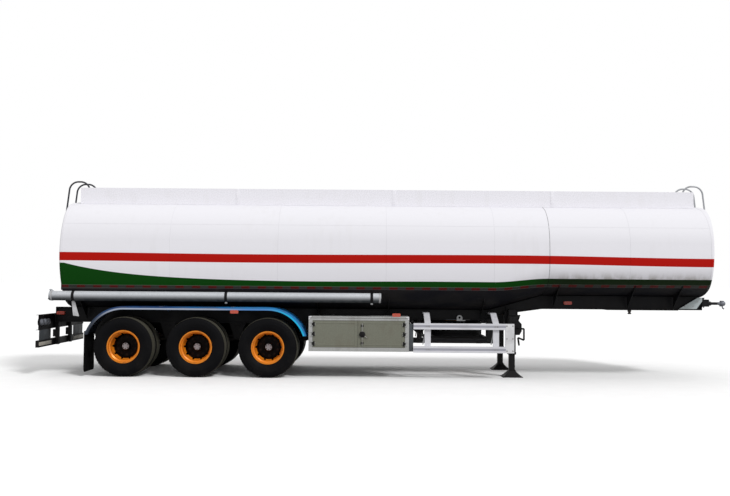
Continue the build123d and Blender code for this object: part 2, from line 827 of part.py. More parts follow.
# Mudguards: one band over the three axles on each side
guard_sheet = 6.0
guard_lip = 50.0
mud_inner = 640.0
mud_outer = 1248.0
rear_axle = axle_places[0]
front_axle = axle_places[2]
mud_foot = 760.0
mud_arms = (rear_axle + axle_pitch / 2, front_axle - axle_pitch / 2)  # arms from the rails' webs
mud_arm_height = 1205.0
mud_arm_depth = 40.0
mud_arm_width = 60.0


def arch_outline(radius):
    """Side view of the space under a mudguard, down to its feet."""
    with Locations((rear_axle, tyre_radius), (front_axle, tyre_radius)):
        Circle(radius)
    with Locations(((rear_axle + front_axle) / 2, tyre_radius)):
        Rectangle(front_axle - rear_axle, 2 * radius)


def arch_band(thickness):
    """Side view of the band that a mudguard makes over the axles."""
    arch_outline(guard_radius)
    with BuildSketch(mode=Mode.PRIVATE) as hollow:
        arch_outline(guard_radius - thickness)
    add(hollow.sketch, mode=Mode.SUBTRACT)
    with Locations(((rear_axle + front_axle) / 2, mud_foot)):
        Rectangle(
            front_axle - rear_axle + 4 * guard_radius,
            2 * guard_radius,
            align=(Align.CENTER, Align.MIN),
            mode=Mode.INTERSECT,
        )


with BuildPart() as mudguards:
    with BuildSketch(Plane.XZ.offset(mud_inner)):
        arch_band(guard_sheet)
    extrude(amount=mud_outer - mud_inner)
    with BuildSketch(Plane.XZ.offset(mud_outer - guard_sheet)):
        arch_band(guard_lip)
    extrude(amount=guard_sheet)
    for place in mud_arms:
        with BuildSketch(Plane.YZ.offset(place)):
            Polygon(
                (-web_face, mud_arm_height),
                (-web_face, mud_arm_height - mud_arm_depth),
                (-mud_inner - 20, mud_top - mud_arm_depth),
                (-mud_outer + 100, mud_top - mud_arm_depth / 2),
                (-mud_outer + 100, mud_top - guard_sheet / 2),
                (-mud_inner - 20, mud_top - guard_sheet / 2),
                (-rail_side - 10, mud_arm_height),
                align=None,
            )
        extrude(amount=mud_arm_width / 2, both=True)
    mirror(about=Plane.XZ)
keep(mudguards, "mudguards")

# Mud flaps behind the rear axle
flap_plate = 8.0
flap_foot = 80.0
flap_corner = 60.0
with BuildPart() as mud_flaps:
    band_end = sqrt(guard_radius**2 - (mud_foot - tyre_radius) ** 2)
    flap_place = rear_axle - band_end - flap_plate / 2 - seat_gap
    with BuildSketch(Plane.YZ.offset(flap_place)):
        with Locations(((-mud_inner - mud_outer) / 2, flap_foot)):
            Rectangle(mud_outer - mud_inner - 20, mud_foot + 60 - flap_foot, align=(Align.CENTER, Align.MIN))
        fillet(vertices().sort_by(Axis.Y)[:2], flap_corner)
    extrude(amount=flap_plate / 2, both=True)
    mirror(about=Plane.XZ)
keep(mud_flaps, "mud_flaps")

# Spring hangers, and equalisers between the axles
spring_seat = tyre_radius + 70.0
leaf_plate = 16.0
leaf_width = 90.0
leaf_halves = (610.0, 450.0, 300.0)  # half lengths of the leaves, from the top
spring_radius = 2600.0
spring_rise = spring_radius - sqrt((spring_radius - leaf_plate) ** 2 - leaf_halves[0] ** 2)
spring_tip = spring_seat + (len(leaf_halves) - 1) * leaf_plate + spring_rise
hanger_cheek = 10.0
hanger_foot = 640.0
hanger_length = 150.0
hanger_places = (
    rear_axle - axle_pitch / 2,
    rear_axle + axle_pitch / 2,
    front_axle - axle_pitch / 2,
    front_axle + axle_pitch / 2,
)
with BuildPart() as spring_hangers:
    for place in hanger_places:
        with BuildSketch(Plane.XZ.offset(rail_centre)):
            with BuildLine():
                Polyline(
                    (place - hanger_length, rail_bottom),
                    (place - hanger_length / 3, hanger_foot),
                    (place + hanger_length / 3, hanger_foot),
                    (place + hanger_length, rail_bottom),
                    close=True,
                )
            make_face()
        extrude(amount=leaf_width / 2 + 2 + hanger_cheek, both=True)
        with Locations((place, -rail_centre, spring_tip + seat_gap)):
            Box(
                3 * hanger_length,
                leaf_width + 4,
                spring_tip - hanger_foot + hanger_length,
                align=(Align.CENTER, Align.CENTER, Align.MAX),
                mode=Mode.SUBTRACT,
            )
    mirror(about=Plane.XZ)
keep(spring_hangers, "spring_hangers")

# Leaf springs on the axles
with BuildPart() as leaf_springs:
    for place in axle_places:
        for level, half in enumerate(leaf_halves):
            low = spring_seat + (len(leaf_halves) - 1 - level) * leaf_plate
            with BuildSketch(Plane.XZ.offset(rail_centre)):
                with Locations((place, low + spring_radius)):
                    Circle(spring_radius)
                    Circle(spring_radius - leaf_plate, mode=Mode.SUBTRACT)
                with Locations((place, low)):
                    Rectangle(2 * half, 300, mode=Mode.INTERSECT)
            extrude(amount=leaf_width / 2, both=True)
    mirror(about=Plane.XZ)
keep(leaf_springs, "leaf_springs")

# Axle beams with spindles, brake shields, spring seats and the torque rods to the hangers
beam_radius = 65.0
shield_plate = 8.0
spindle_tip = 105.0
seat_length = 200.0
seat_width = 150.0
clamp_plate = 20.0
clamp_bolt = 11.0
clamp_foot = spring_seat + len(leaf_halves) * leaf_plate + 2.0
chamber_side = 300.0
chamber_radius = 78.0
chamber_length = 170.0
rod_radius = 18.0
rod_eye = 28.0
rod_height = 655.0
rod_foot = 560.0
rod_pin = 12.0
with BuildPart() as axle_beams:
    for place in axle_places:
        shield_y = wheel_track_half - drum_depth - 24 - shield_plate - 4
        with Locations((place, 0, tyre_radius)):
            Cylinder(beam_radius, 2 * (wheel_track_half - 60), rotation=(90, 0, 0))
        with Locations((place, 0, tyre_radius)):
            Cylinder(spindle_radius, 2 * (wheel_track_half + spindle_tip), rotation=(90, 0, 0))
        for side in (-1, 1):
            with Locations((place, side * shield_y, tyre_radius)):
                Cylinder(drum_radius - 4, shield_plate, rotation=(90, 0, 0))
            with Locations((place, side * rail_centre, tyre_radius)):
                Box(
                    seat_length,
                    seat_width,
                    spring_seat - tyre_radius - seat_gap,
                    align=(Align.CENTER, Align.CENTER, Align.MIN),
                )
            with Locations((place, side * rail_centre, clamp_foot)):
                Box(seat_length, seat_width, clamp_plate, align=(Align.CENTER, Align.CENTER, Align.MIN))
            with Locations((place, side * rail_centre, tyre_radius)):
                with GridLocations(seat_length - 50, seat_width - 2 * clamp_bolt - 6, 2, 2):
                    Cylinder(
                        clamp_bolt,
                        clamp_foot + clamp_plate + 25 - tyre_radius,
                        align=(Align.CENTER, Align.CENTER, Align.MIN),
                    )
            with Locations((place - beam_radius - 30, side * chamber_side, tyre_radius + 20)):
                Cylinder(
                    chamber_radius,
                    chamber_length,
                    rotation=(0, 90, 0),
                    align=(Align.CENTER, Align.CENTER, Align.MAX),
                )
            with Locations((place - beam_radius - 32, side * chamber_side, tyre_radius - 40)):
                Box(80, 20, 110, align=(Align.MIN, Align.CENTER, Align.MIN))
            eye_place = place + axle_pitch / 2
            with BuildSketch(Plane.XZ.offset(-side * rail_centre)):
                with Locations((eye_place, rod_height)):
                    Circle(rod_eye)
                Polygon(
                    (place + seat_length / 2, rod_foot - rod_radius),
                    (place + seat_length / 2, rod_foot + rod_radius),
                    (eye_place, rod_height + rod_radius),
                    (eye_place, rod_height - rod_radius),
                    align=None,
                )
            extrude(amount=rod_radius, both=True)
            with Locations((eye_place, side * rail_centre, rod_height)):
                Cylinder(rod_pin, leaf_width + 4 - 2 * seat_gap, rotation=(90, 0, 0))
keep(axle_beams, "axle_beams")

# One tyre round the Y axis, as flats between rings of corners that clear the rim's circles
flat_reach = 1 / cos(pi / tyre_corners)
bead_half = rim_outer_half - rim_edge - seat_gap
tyre_rings = (
    # distance from the tyre's middle, distance of the corners from its axis
    (bead_half, (rim_flange + 2) * flat_reach),
    (tyre_width / 2, (bead_radius + tyre_radius) / 2),
    (tyre_width / 2 - 24, tyre_radius),
)
with BuildPart() as tyre:
    for reach, radius in tyre_rings:
        with BuildSketch(Plane.XZ.offset(-reach)):
            RegularPolygon(radius, tyre_corners)
    for reach, radius in reversed(tyre_rings):
        with BuildSketch(Plane.XZ.offset(reach)):
            RegularPolygon(radius, tyre_corners)
    loft(ruled=True)
    with BuildSketch(Plane.XZ):
        RegularPolygon((bead_radius + seat_gap) * flat_reach, tyre_corners)
    extrude(amount=tyre_width, both=True, mode=Mode.SUBTRACT)

# Twin wheels: tyres on two rims, with hub and brake drum in one body
for axle_name, place in zip(axle_names, axle_places):
    for side_name, side in (("right", -1), ("left", 1)):
        wheel_plane = Plane(
            origin=(place, side * wheel_track_half, tyre_radius),
            x_dir=(0, side, 0),
            z_dir=(side, 0, 0),
        )
        spin_axis = Axis((place, side * wheel_track_half, tyre_radius), (0, 1, 0))
        with BuildPart() as tyres:
            for twin in (-1, 1):
                with Locations((place, side * wheel_track_half + twin * twin_pitch / 2, tyre_radius)):
                    add(tyre.part)
        keep(tyres, f"tyres_{axle_name}_{side_name}")

        with BuildPart() as wheel:
            for twin in (-1, 1):
                centre = twin * twin_pitch / 2
                with BuildSketch(wheel_plane):
                    with BuildLine():
                        Polyline(
                            (centre - rim_outer_half, rim_flange),
                            (centre - rim_outer_half + rim_edge, rim_flange),
                            (centre - rim_outer_half + rim_edge, bead_radius),
                            (centre - 60, bead_radius - 4),
                            (centre - 42, rim_well),
                            (centre + 42, rim_well),
                            (centre + 60, bead_radius - 4),
                            (centre + rim_outer_half - rim_edge, bead_radius),
                            (centre + rim_outer_half - rim_edge, rim_flange),
                            (centre + rim_outer_half, rim_flange),
                            (centre + rim_outer_half, bead_radius - rim_wall),
                            (centre + 66, bead_radius - 4 - rim_wall),
                            (centre + 46, rim_well - rim_wall),
                            (centre - 46, rim_well - rim_wall),
                            (centre - 66, bead_radius - 4 - rim_wall),
                            (centre - rim_outer_half, bead_radius - rim_wall),
                            close=True,
                        )
                    make_face()
                revolve(axis=spin_axis)
                with BuildSketch(wheel_plane):
                    with BuildLine():
                        Polyline(
                            (twin * 0, 100),
                            (twin * 0, 202),
                            (twin * 130, rim_well - 4),
                            (twin * 146, rim_well - 4),
                            (twin * 16, 194),
                            (twin * 16, 100),
                            close=True,
                        )
                    make_face()
                revolve(axis=spin_axis)
            with BuildSketch(wheel_plane):
                with BuildLine():
                    Polyline(
                        (-24 - drum_depth, drum_radius - 16),
                        (-24 - drum_depth, drum_radius),
                        (-24, drum_radius),
                        (-14, 120),
                        (20, 110),
                        (30, 76),
                        (118, 66),
                        (126, 56),
                        (126, 0),
                        (108, 0),
                        (108, spindle_radius + pin_gap),
                        (-44, spindle_radius + pin_gap),
                        (-44, drum_radius - 16),
                        close=True,
                    )
                make_face()
            revolve(axis=spin_axis)
            with BuildSketch(Plane.XZ.offset(-side * wheel_track_half)):
                with Locations((place, tyre_radius)):
                    with PolarLocations(hand_circle, hand_holes):
                        Circle(hand_radius)
            extrude(amount=twin_pitch / 2, both=True, mode=Mode.SUBTRACT)
        keep(wheel, f"wheel_{axle_name}_{side_name}")

# Rear bumper: a lamp panel and a low bar on two posts, carried by the rails' ends
bumper_rear = -6400.0
bumper_half = 1240.0
bar_foot = 515.0
bar_height = 125.0
bar_depth = 60.0
panel_foot = 830.0
panel_top = 1107.0
panel_plate = 6.0
panel_lip = 45.0
post_side = 350.0
post_width = 80.0
end_plate = 10.0
with BuildPart() as rear_bumper:
    with Locations((bumper_rear, 0, bar_foot)):
        Box(bar_depth, 2 * bumper_half, bar_height, align=(Align.MIN, Align.CENTER, Align.MIN))
    with Locations((bumper_rear + panel_lip, 0, panel_foot)):
        Box(
            panel_plate,
            2 * bumper_half,
            panel_top - panel_foot,
            align=(Align.MIN, Align.CENTER, Align.MIN),
        )
    for height in (panel_foot, panel_top - panel_plate):
        with Locations((bumper_rear, 0, height)):
            Box(
                panel_lip + panel_plate,
                2 * bumper_half,
                panel_plate,
                align=(Align.MIN, Align.CENTER, Align.MIN),
            )
    post_rear = bumper_rear + panel_lip + panel_plate
    for side in (-1, 1):
        with Locations((post_rear, side * post_side, bar_foot)):
            Box(bar_depth, post_width, panel_top - bar_foot, align=(Align.MIN, Align.CENTER, Align.MIN))
    with Locations((rail_rear, 0, rail_bottom)):
        Box(
            end_plate,
            2 * rail_side,
            panel_top - rail_bottom,
            align=(Align.MAX, Align.CENTER, Align.MIN),
        )
keep(rear_bumper, "rear_bumper")

# Tail lamps on the panel
lamp_height = 970.0
lamp_radius = 65.0
lamp_depth = 32.0
lamp_places = (1120.0, 960.0, 800.0)
with BuildPart() as tail_lamps:
    for side in (-1, 1):
        for place in lamp_places:
            with Locations((bumper_rear + panel_lip, side * place, lamp_height)):
                Cylinder(
                    lamp_radius,
                    lamp_depth,
                    rotation=(0, 90, 0),
                    align=(Align.CENTER, Align.CENTER, Align.MAX),
                )
keep(tail_lamps, "tail_lamps")

# Discharge pipes from the belly into the right-hand cabinet
with BuildPart() as discharge_pipes:
    for number in range(pipe_count):
        place = pipe_first + number * pipe_pitch
        top = belly_height(pipe_side - pipe_radius, rear_belly) - seat_gap
        with BuildLine(Plane.YZ.offset(place)) as pipe:
            FilletPolyline(
                (-pipe_side, top),
                (-pipe_side, pipe_height),
                (-pipe_reach, pipe_height),
                radius=pipe_bend,
            )
        with BuildSketch(Plane(origin=pipe.line @ 0, z_dir=pipe.line % 0)):
            Circle(pipe_radius)
        sweep(path=pipe.line)
        for reach, radius, length in ((pipe_reach - 60, 68.0, 30.0), (pipe_reach, 62.0, 40.0)):
            with Locations((place, -reach, pipe_height)):
                Cylinder(radius, length, rotation=(90, 0, 0))
keep(discharge_pipes, "discharge_pipes")

# Air reservoirs across the frame, hung from the rails
reservoir_radius = 118.0
reservoir_half = 380.0
reservoir_places = (320.0, 590.0)
with BuildPart() as air_reservoirs:
    for place in reservoir_places:
        barrel_axis = middle_bottom - reservoir_radius - 14
        with Locations((place, 0, barrel_axis)):
            Cylinder(reservoir_radius, 2 * reservoir_half, rotation=(90, 0, 0))
        for side in (-1, 1):
            with Locations((place, side * (reservoir_half - 60), barrel_axis)):
                Cylinder(reservoir_radius + 5, 40, rotation=(90, 0, 0))
            with Locations((place, side * (reservoir_half - 60), middle_bottom)):
                Box(60, 320, 60, align=(Align.CENTER, Align.CENTER, Align.MAX))
keep(air_reservoirs, "air_reservoirs")

# Spare wheel, flat under the rails in its carrier
spare_place = 1294.0
spare_top = lug_foot - 4.0
spare_foot = spare_top - tyre_width
with BuildPart() as spare_tyre:
    with Locations((spare_place, 0, spare_foot + tyre_width / 2)):
        add(tyre.part, rotation=(90, 0, 0))
keep(spare_tyre, "spare_tyre")

with BuildPart() as spare_rim:
    centre = spare_foot + tyre_width / 2
    with BuildSketch(Plane.XZ):
        Polygon(
            (rim_flange, centre - rim_outer_half),
            (rim_flange, centre - rim_outer_half + rim_edge),
            (bead_radius, centre - rim_outer_half + rim_edge),
            (bead_radius - 4, centre - 60),
            (rim_well, centre - 42),
            (rim_well, centre + 42),
            (bead_radius - 4, centre + 60),
            (bead_radius, centre + rim_outer_half - rim_edge),
            (rim_flange, centre + rim_outer_half - rim_edge),
            (rim_flange, centre + rim_outer_half),
            (bead_radius - rim_wall, centre + rim_outer_half),
            (bead_radius - 4 - rim_wall, centre + 66),
            (rim_well - rim_wall, centre + 46),
            (rim_well - rim_wall, centre - 46),
            (bead_radius - 4 - rim_wall, centre - 66),
            (bead_radius - rim_wall, centre - rim_outer_half),
            align=None,
        )
        Polygon(
            (110, centre + 150),
            (202, centre + 150),
            (rim_well - 4, centre + 40),
            (rim_well - 4, centre + 24),
            (194, centre + 134),
            (110, centre + 134),
            align=None,
        )
    revolve(axis=Axis.Z)
spare_rim.part = spare_rim.part.moved(Location((spare_place, 0, 0)))
keep(spare_rim, "spare_rim")

carrier_half = tyre_radius + 40
carrier_bar = 40.0
carrier_side = 300.0
with BuildPart() as spare_carrier:
    for side in (-1, 1):
        with Locations((spare_place, side * carrier_side, spare_foot - seat_gap)):
            Box(2 * carrier_half, carrier_bar, carrier_bar, align=(Align.CENTER, Align.CENTER, Align.MAX))
    for end in (-1, 1):
        with Locations((spare_place + end * carrier_half, 0, spare_foot - seat_gap)):
            Box(carrier_bar, 2 * rail_centre, carrier_bar, align=(Align.CENTER, Align.CENTER, Align.MAX))
        for side in (-1, 1):
            with Locations(
                (spare_place + end * carrier_half, side * rail_centre, spare_foot - seat_gap - carrier_bar)
            ):
                Box(
                    carrier_bar,
                    carrier_bar,
                    middle_bottom - spare_foot + seat_gap + carrier_bar,
                    align=(Align.CENTER, Align.CENTER, Align.MIN),
                )
keep(spare_carrier, "spare_carrier")

# Side marker lamps
marker_length = 150.0
marker_height = 62.0
marker_depth = 25.0
markers = (
    # place along X, inner face, outer face, lamp's middle height
    (-6205.0, web_face, rail_side + marker_depth, 1120.0),
    (-2810.0, mud_outer - marker_depth, mud_outer, mud_top - guard_lip - seat_gap - marker_height / 2),
    (130.0, cabinet_face - marker_depth, cabinet_face, cabinet_top + seat_gap + marker_height / 2),
    (3400.0, web_face, rail_side + marker_depth, 1380.0),
)
with BuildPart() as marker_lamps:
    for place, inner, outer, height in markers:
        with BuildSketch(Plane.XZ.offset(inner)):
            with Locations((place, height)):
                RectangleRounded(marker_length, marker_height, 20)
        extrude(amount=outer - inner)
    mirror(about=Plane.XZ)
keep(marker_lamps, "marker_lamps")

# Front bracket for the air and electric couplings
bracket_corners = ((5510.0, 1285.0), (5870.0, 1500.0), (6000.0, 1500.0), (5840.0, 1285.0))
bracket_plate = 10.0
beam_rear = neck_front
beam_front = 6080.0
beam_foot = 1330.0
beam_top = 1465.0
with BuildPart() as front_bracket:
    with Locations((beam_rear, 0, beam_foot)):
        Box(
            beam_front - beam_rear,
            2 * rail_side + 2 * bracket_plate,
            beam_top - beam_foot,
            align=(Align.MIN, Align.CENTER, Align.MIN),
        )
    with BuildSketch(Plane.XZ.offset(rail_side)):
        Polygon(*bracket_corners, align=None)
    extrude(amount=bracket_plate)
    mirror(about=Plane.XZ)
keep(front_bracket, "front_bracket")

# Air couplings on arms ahead of the bracket
coupling_side = 480.0
coupling_tip = 6400.0
coupling_block = 150.0
coupling_height = 1390.0
with BuildPart() as air_couplings:
    for side in (-1, 1):
        with Locations((beam_front, side * coupling_side, coupling_height)):
            Cylinder(
                14,
                coupling_tip - coupling_block - beam_front,
                rotation=(0, 90, 0),
                align=(Align.CENTER, Align.CENTER, Align.MIN),
            )
        with Locations((coupling_tip, side * coupling_side, coupling_height)):
            Box(coupling_block, 70, 110, align=(Align.MAX, Align.CENTER, Align.CENTER))
keep(air_couplings, "air_couplings")
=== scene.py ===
import logging
import math
from collections.abc import Sequence
from dataclasses import dataclass
from enum import Enum

import bmesh
import bpy
from mathutils import Euler, Matrix, Vector


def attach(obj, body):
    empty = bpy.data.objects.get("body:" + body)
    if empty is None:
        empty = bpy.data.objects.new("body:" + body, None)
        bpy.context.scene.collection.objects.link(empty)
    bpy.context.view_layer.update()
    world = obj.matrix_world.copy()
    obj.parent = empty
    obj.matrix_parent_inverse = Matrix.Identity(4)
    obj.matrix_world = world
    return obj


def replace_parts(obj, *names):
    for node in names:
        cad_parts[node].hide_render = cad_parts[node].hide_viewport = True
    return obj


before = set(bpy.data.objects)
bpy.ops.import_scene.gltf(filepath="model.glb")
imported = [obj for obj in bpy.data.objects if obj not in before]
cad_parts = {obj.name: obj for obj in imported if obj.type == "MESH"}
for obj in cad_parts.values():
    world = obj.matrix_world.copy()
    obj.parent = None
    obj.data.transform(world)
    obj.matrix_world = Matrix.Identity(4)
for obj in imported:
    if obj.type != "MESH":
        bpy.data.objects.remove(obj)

LOG = logging.getLogger("tanker")
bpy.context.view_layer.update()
ROOT = "trailer"
AXLES = {"rear": -4.82, "middle": -3.51, "front": -2.20}
AXLE_PITCH = 1.31
AXLE_HEIGHT = 0.542
Colour = tuple[float, float, float]
Point = tuple[float, float, float]
Line = tuple[tuple[float, float], ...]
Spot = tuple[Sequence[float], Sequence[float]]


class Slot(Enum):
    """Material slots of the record, handed along with each piece but not used by the code."""

    BARREL = "barrel_paint"
    CHASSIS = "chassis_paint"
    SHEET = "sheet_aluminium"
    GUARD = "guard_aluminium"
    CABINET = "cabinet_paint"
    TUBE = "tube_metal"
    MUDGUARD = "mudguard_plastic"
    TYRE = "tyre_rubber"
    RIM = "rim_paint"
    AXLE = "axle_iron"
    LAMP = "lamp_red"
    COUPLING = "coupling_metal"


class Side(Enum):
    """The two sides of the trailer, by the sign of Y."""

    RIGHT = -1
    LEFT = 1

    @property
    def label(self) -> str:
        """Name of the side in the names of pieces."""
        return self.name.lower()

    @property
    def out(self) -> Point:
        """Direction away from the middle of the trailer."""
        return (0.0, float(self.value), 0.0)


class Value:
    """A number in a material's tree that can be calculated with."""

    def __init__(self, graph: "Graph", socket: bpy.types.NodeSocket) -> None:
        """Keep the socket together with its graph."""
        self.graph, self.socket = graph, socket

    def __add__(self, other: object) -> "Value":
        """Add another number."""
        return self.graph.math("ADD", self, other)

    def __sub__(self, other: object) -> "Value":
        """Subtract another number."""
        return self.graph.math("SUBTRACT", self, other)

    def __rsub__(self, other: object) -> "Value":
        """Subtract from a plain number."""
        return self.graph.math("SUBTRACT", other, self)

    def __mul__(self, other: object) -> "Value":
        """Multiply by another number."""
        return self.graph.math("MULTIPLY", self, other)


class Graph:
    """Builds the node tree of one material with short calls."""

    def __init__(self, name: str) -> None:
        """Start a material with a Principled shader.

        Args:
            name: Name of the material.
        """
        self.material = bpy.data.materials.new(name)
        self.material.use_nodes = True
        self.tree = self.material.node_tree
        self.tree.nodes.clear()
        self.shader = self.tree.nodes.new("ShaderNodeBsdfPrincipled")
        output = self.tree.nodes.new("ShaderNodeOutputMaterial")
        self.tree.links.new(self.shader.outputs["BSDF"], output.inputs["Surface"])
        self.place = self.tree.nodes.new("ShaderNodeTexCoord").outputs["Object"]
        split = self.node("ShaderNodeSeparateXYZ", Vector=self.place)
        self.x, self.y, self.z = (Value(self, socket) for socket in split.outputs)
        self.side = self.math("ABSOLUTE", self.y)

    def put(self, socket: bpy.types.NodeSocket, value: object) -> None:
        """Link a socket or set its value.

        Args:
            socket: Input socket.
            value: A value of the tree, an output socket, or a plain value.
        """
        value = value.socket if isinstance(value, Value) else value
        if isinstance(value, bpy.types.NodeSocket):
            self.tree.links.new(value, socket)
        elif isinstance(value, tuple) and len(value) == 3 and socket.type == "RGBA":
            socket.default_value = (*value, 1.0)
        else:
            socket.default_value = value

    def node(self, kind: str, **inputs: object) -> bpy.types.Node:
        """Add a node and fill its inputs.

        Args:
            kind: Type name of the node.
            **inputs: Values by socket name, with _ for a space.

        Returns:
            The new node.
        """
        node = self.tree.nodes.new(kind)
        for name, value in inputs.items():
            self.put(node.inputs[name.replace("_", " ")], value)
        return node

    def math(self, operation: str, *values: object) -> Value:
        """Calculate with up to three numbers, by the name of a Math node's operation."""
        node = self.tree.nodes.new("ShaderNodeMath")
        node.operation = operation
        for socket, value in zip(node.inputs, values):
            self.put(socket, value)
        return Value(self, node.outputs[0])

    def span(self, value: Value, low: float, high: float, start: float = 0.0, end: float = 1.0) -> Value:
        """Map a range smoothly onto another.

        Args:
            value: Number to map.
            low: Value that gives start.
            high: Value that gives end.
            start: Result at low.
            end: Result at high.

        Returns:
            The mapped number.
        """
        node = self.tree.nodes.new("ShaderNodeMapRange")
        node.interpolation_type = "SMOOTHSTEP"
        for socket, item in zip(node.inputs, (value, low, high, start, end)):
            self.put(socket, item)
        return Value(self, node.outputs[0])

    def band(self, value: Value, low: object, high: object, edge: float) -> Value:
        """Tell where a value lies between two bounds.

        Args:
            value: Number to test.
            low: Lower bound.
            high: Upper bound.
            edge: Softness of both edges.

        Returns:
            One inside the band and zero outside.
        """
        below = self.math("SUBTRACT", high, value)
        return self.span(value - low, -edge, edge) * self.span(below, -edge, edge)

    def dashes(self, value: Value, shift: float, length: float, edge: float) -> Value:
        """Cut a line into dashes.

        Args:
            value: Place along the line.
            shift: Length that makes every place positive.
            length: Length of a dash and of the gap after it.
            edge: Softness of a dash's ends.

        Returns:
            One on a dash and zero between dashes.
        """
        return self.band(self.math("MODULO", value + shift, 2 * length), 0.0, length, edge)

    def distance(self, along: Value, across: Value) -> Value:
        """Length of a run with two components."""
        squares = self.math("POWER", along, 2.0) + self.math("POWER", across, 2.0)
        return self.math("SQRT", squares)

    def wheel_reach(self) -> Value:
        """Distance in metres from the nearest wheel's axis."""
        shifted = self.x - (AXLES["middle"] - 10.5 * AXLE_PITCH)
        along = self.math("MODULO", shifted, AXLE_PITCH) - AXLE_PITCH / 2
        return self.distance(along, self.z - AXLE_HEIGHT)

    def noise(
        self, scale: float, detail: float = 3.0, stretch: Point = (1.0, 1.0, 1.0), shift: float = 0.0
    ) -> Value:
        """Noise on object coordinates.

        Args:
            scale: Mottles a metre.
            detail: Octaves.
            stretch: Factor on each axis before the noise.
            shift: Offset that makes two noises differ.

        Returns:
            The noise's factor.
        """
        mapping = self.node("ShaderNodeMapping", Vector=self.place, Scale=stretch, Location=(shift,) * 3)
        node = self.node("ShaderNodeTexNoise", Vector=mapping.outputs[0], Scale=scale, Detail=detail)
        return Value(self, node.outputs["Fac"])

    def mix(self, factor: Value, first: object, second: object) -> Value:
        """Mix two colours.

        Args:
            factor: Share of the second colour.
            first: Colour or value.
            second: Colour or value.

        Returns:
            The mixed colour.
        """
        node = self.tree.nodes.new("ShaderNodeMix")
        node.data_type = "RGBA"
        for index, value in ((0, factor), (6, first), (7, second)):
            self.put(node.inputs[index], value)
        return Value(self, node.outputs[2])

    def lit(self, colour: object, value: object) -> Value:
        """Scale a colour's brightness by a value."""
        return Value(self, self.node("ShaderNodeHueSaturation", Value=value, Color=colour).outputs[0])

    def bump(self, height: Value, depth: float, strength: float = 1.0, normal: Value | None = None) -> Value:
        """Turn a height into a bumped normal.

        Args:
            height: Height between 0 and 1.
            depth: Depth in metres of a height of 1.
            strength: Share of the bump that shows.
            normal: Normal of an earlier bump.

        Returns:
            The bumped normal.
        """
        earlier = {} if normal is None else {"Normal": normal}
        node = self.node("ShaderNodeBump", Height=height, Distance=depth, Strength=strength, **earlier)
        return Value(self, node.outputs[0])

    def finish(self, **inputs: object) -> bpy.types.Material:
        """Fill the shader.

        Args:
            **inputs: Shader inputs by name, with _ for a space.

        Returns:
            The finished material.
        """
        for name, value in inputs.items():
            self.put(self.shader.inputs[name.replace("_", " ")], value)
        return self.material


@dataclass(frozen=True)
class Coat:
    """A painted or bare metal surface with mottles, streaks and dirt from below; on the hose tubes that low
    darkening is painted shade.

    Attributes:
        name: Name of the material.
        colour: Clean colour.
        dirt: Colour of the dirt; on the hose tubes also the colour of the painted shade on their underside.
        roughness: Roughness where clean.
        dirt_share: Share of the dirt high up.
        low: Height in metres where the low dirt, on the hose tubes the painted shade, is full.
        high: Height in metres where it ends.
        road_share: Share of the low dirt and painted shade at its fullest.
        metallic: Metallic share.
        ripple: Depth of the surface's ripple in metres.
        gloss: Level of the mirror-like share.
        bare: Corners of a box, with Y taken on both sides, that has another colour, or none.
        bare_colour: Colour inside that box.
        even: Least share of the low dirt in its thinnest patches; near one on the hose tubes, where the
            painted shade is even.
    """

    name: str
    colour: Colour
    dirt: Colour
    roughness: float
    dirt_share: float
    low: float
    high: float
    road_share: float
    metallic: float = 0.0
    ripple: float = 0.002
    gloss: float = 0.25
    bare: tuple[Point, Point] | None = None
    bare_colour: Colour = (0.50, 0.52, 0.53)
    even: float = 0.5

    def build(self) -> bpy.types.Material:
        """Make the material."""
        graph = Graph(self.name)
        mottle = graph.noise(4.0, 6.0)
        streak = graph.noise(7.0, 4.0, (1.0, 1.0, 0.15), 3.0)
        fine = graph.noise(60.0, 4.0, shift=7.0)
        patches = graph.span(graph.noise(11.0, 6.0, shift=11.0), 0.3, 0.7, self.even, 1.0)
        # Darkening from below: dirt, and on the hose tubes painted shade of their underside.
        low_dirt_and_shade = graph.span(graph.z, self.low, self.high, self.road_share, 0.0) * patches
        spots = graph.span(mottle * streak, 0.22, 0.42) * self.dirt_share
        share = graph.math("MAXIMUM", spots, low_dirt_and_shade)
        clean = self.colour
        if self.bare is not None:
            places = zip((graph.x, graph.side, graph.z), *self.bare)
            along, across, up = (graph.band(place, low, high, 0.001) for place, low, high in places)
            clean = graph.mix(along * across * up, self.colour, self.bare_colour)
        shade = graph.lit(clean, graph.span(fine, 0.2, 0.8, 0.86, 1.08))
        normal = graph.bump(graph.noise(2.5, 2.0), self.ripple, 0.6)
        return graph.finish(
            Base_Color=graph.mix(share, shade, self.dirt),
            Roughness=graph.span(mottle, 0.3, 0.7, -0.06, 0.08) + self.roughness + share * 0.3,
            Metallic=self.metallic,
            Specular_IOR_Level=self.gloss,
            Normal=graph.bump(fine, 0.0004, 0.35, normal),
        )


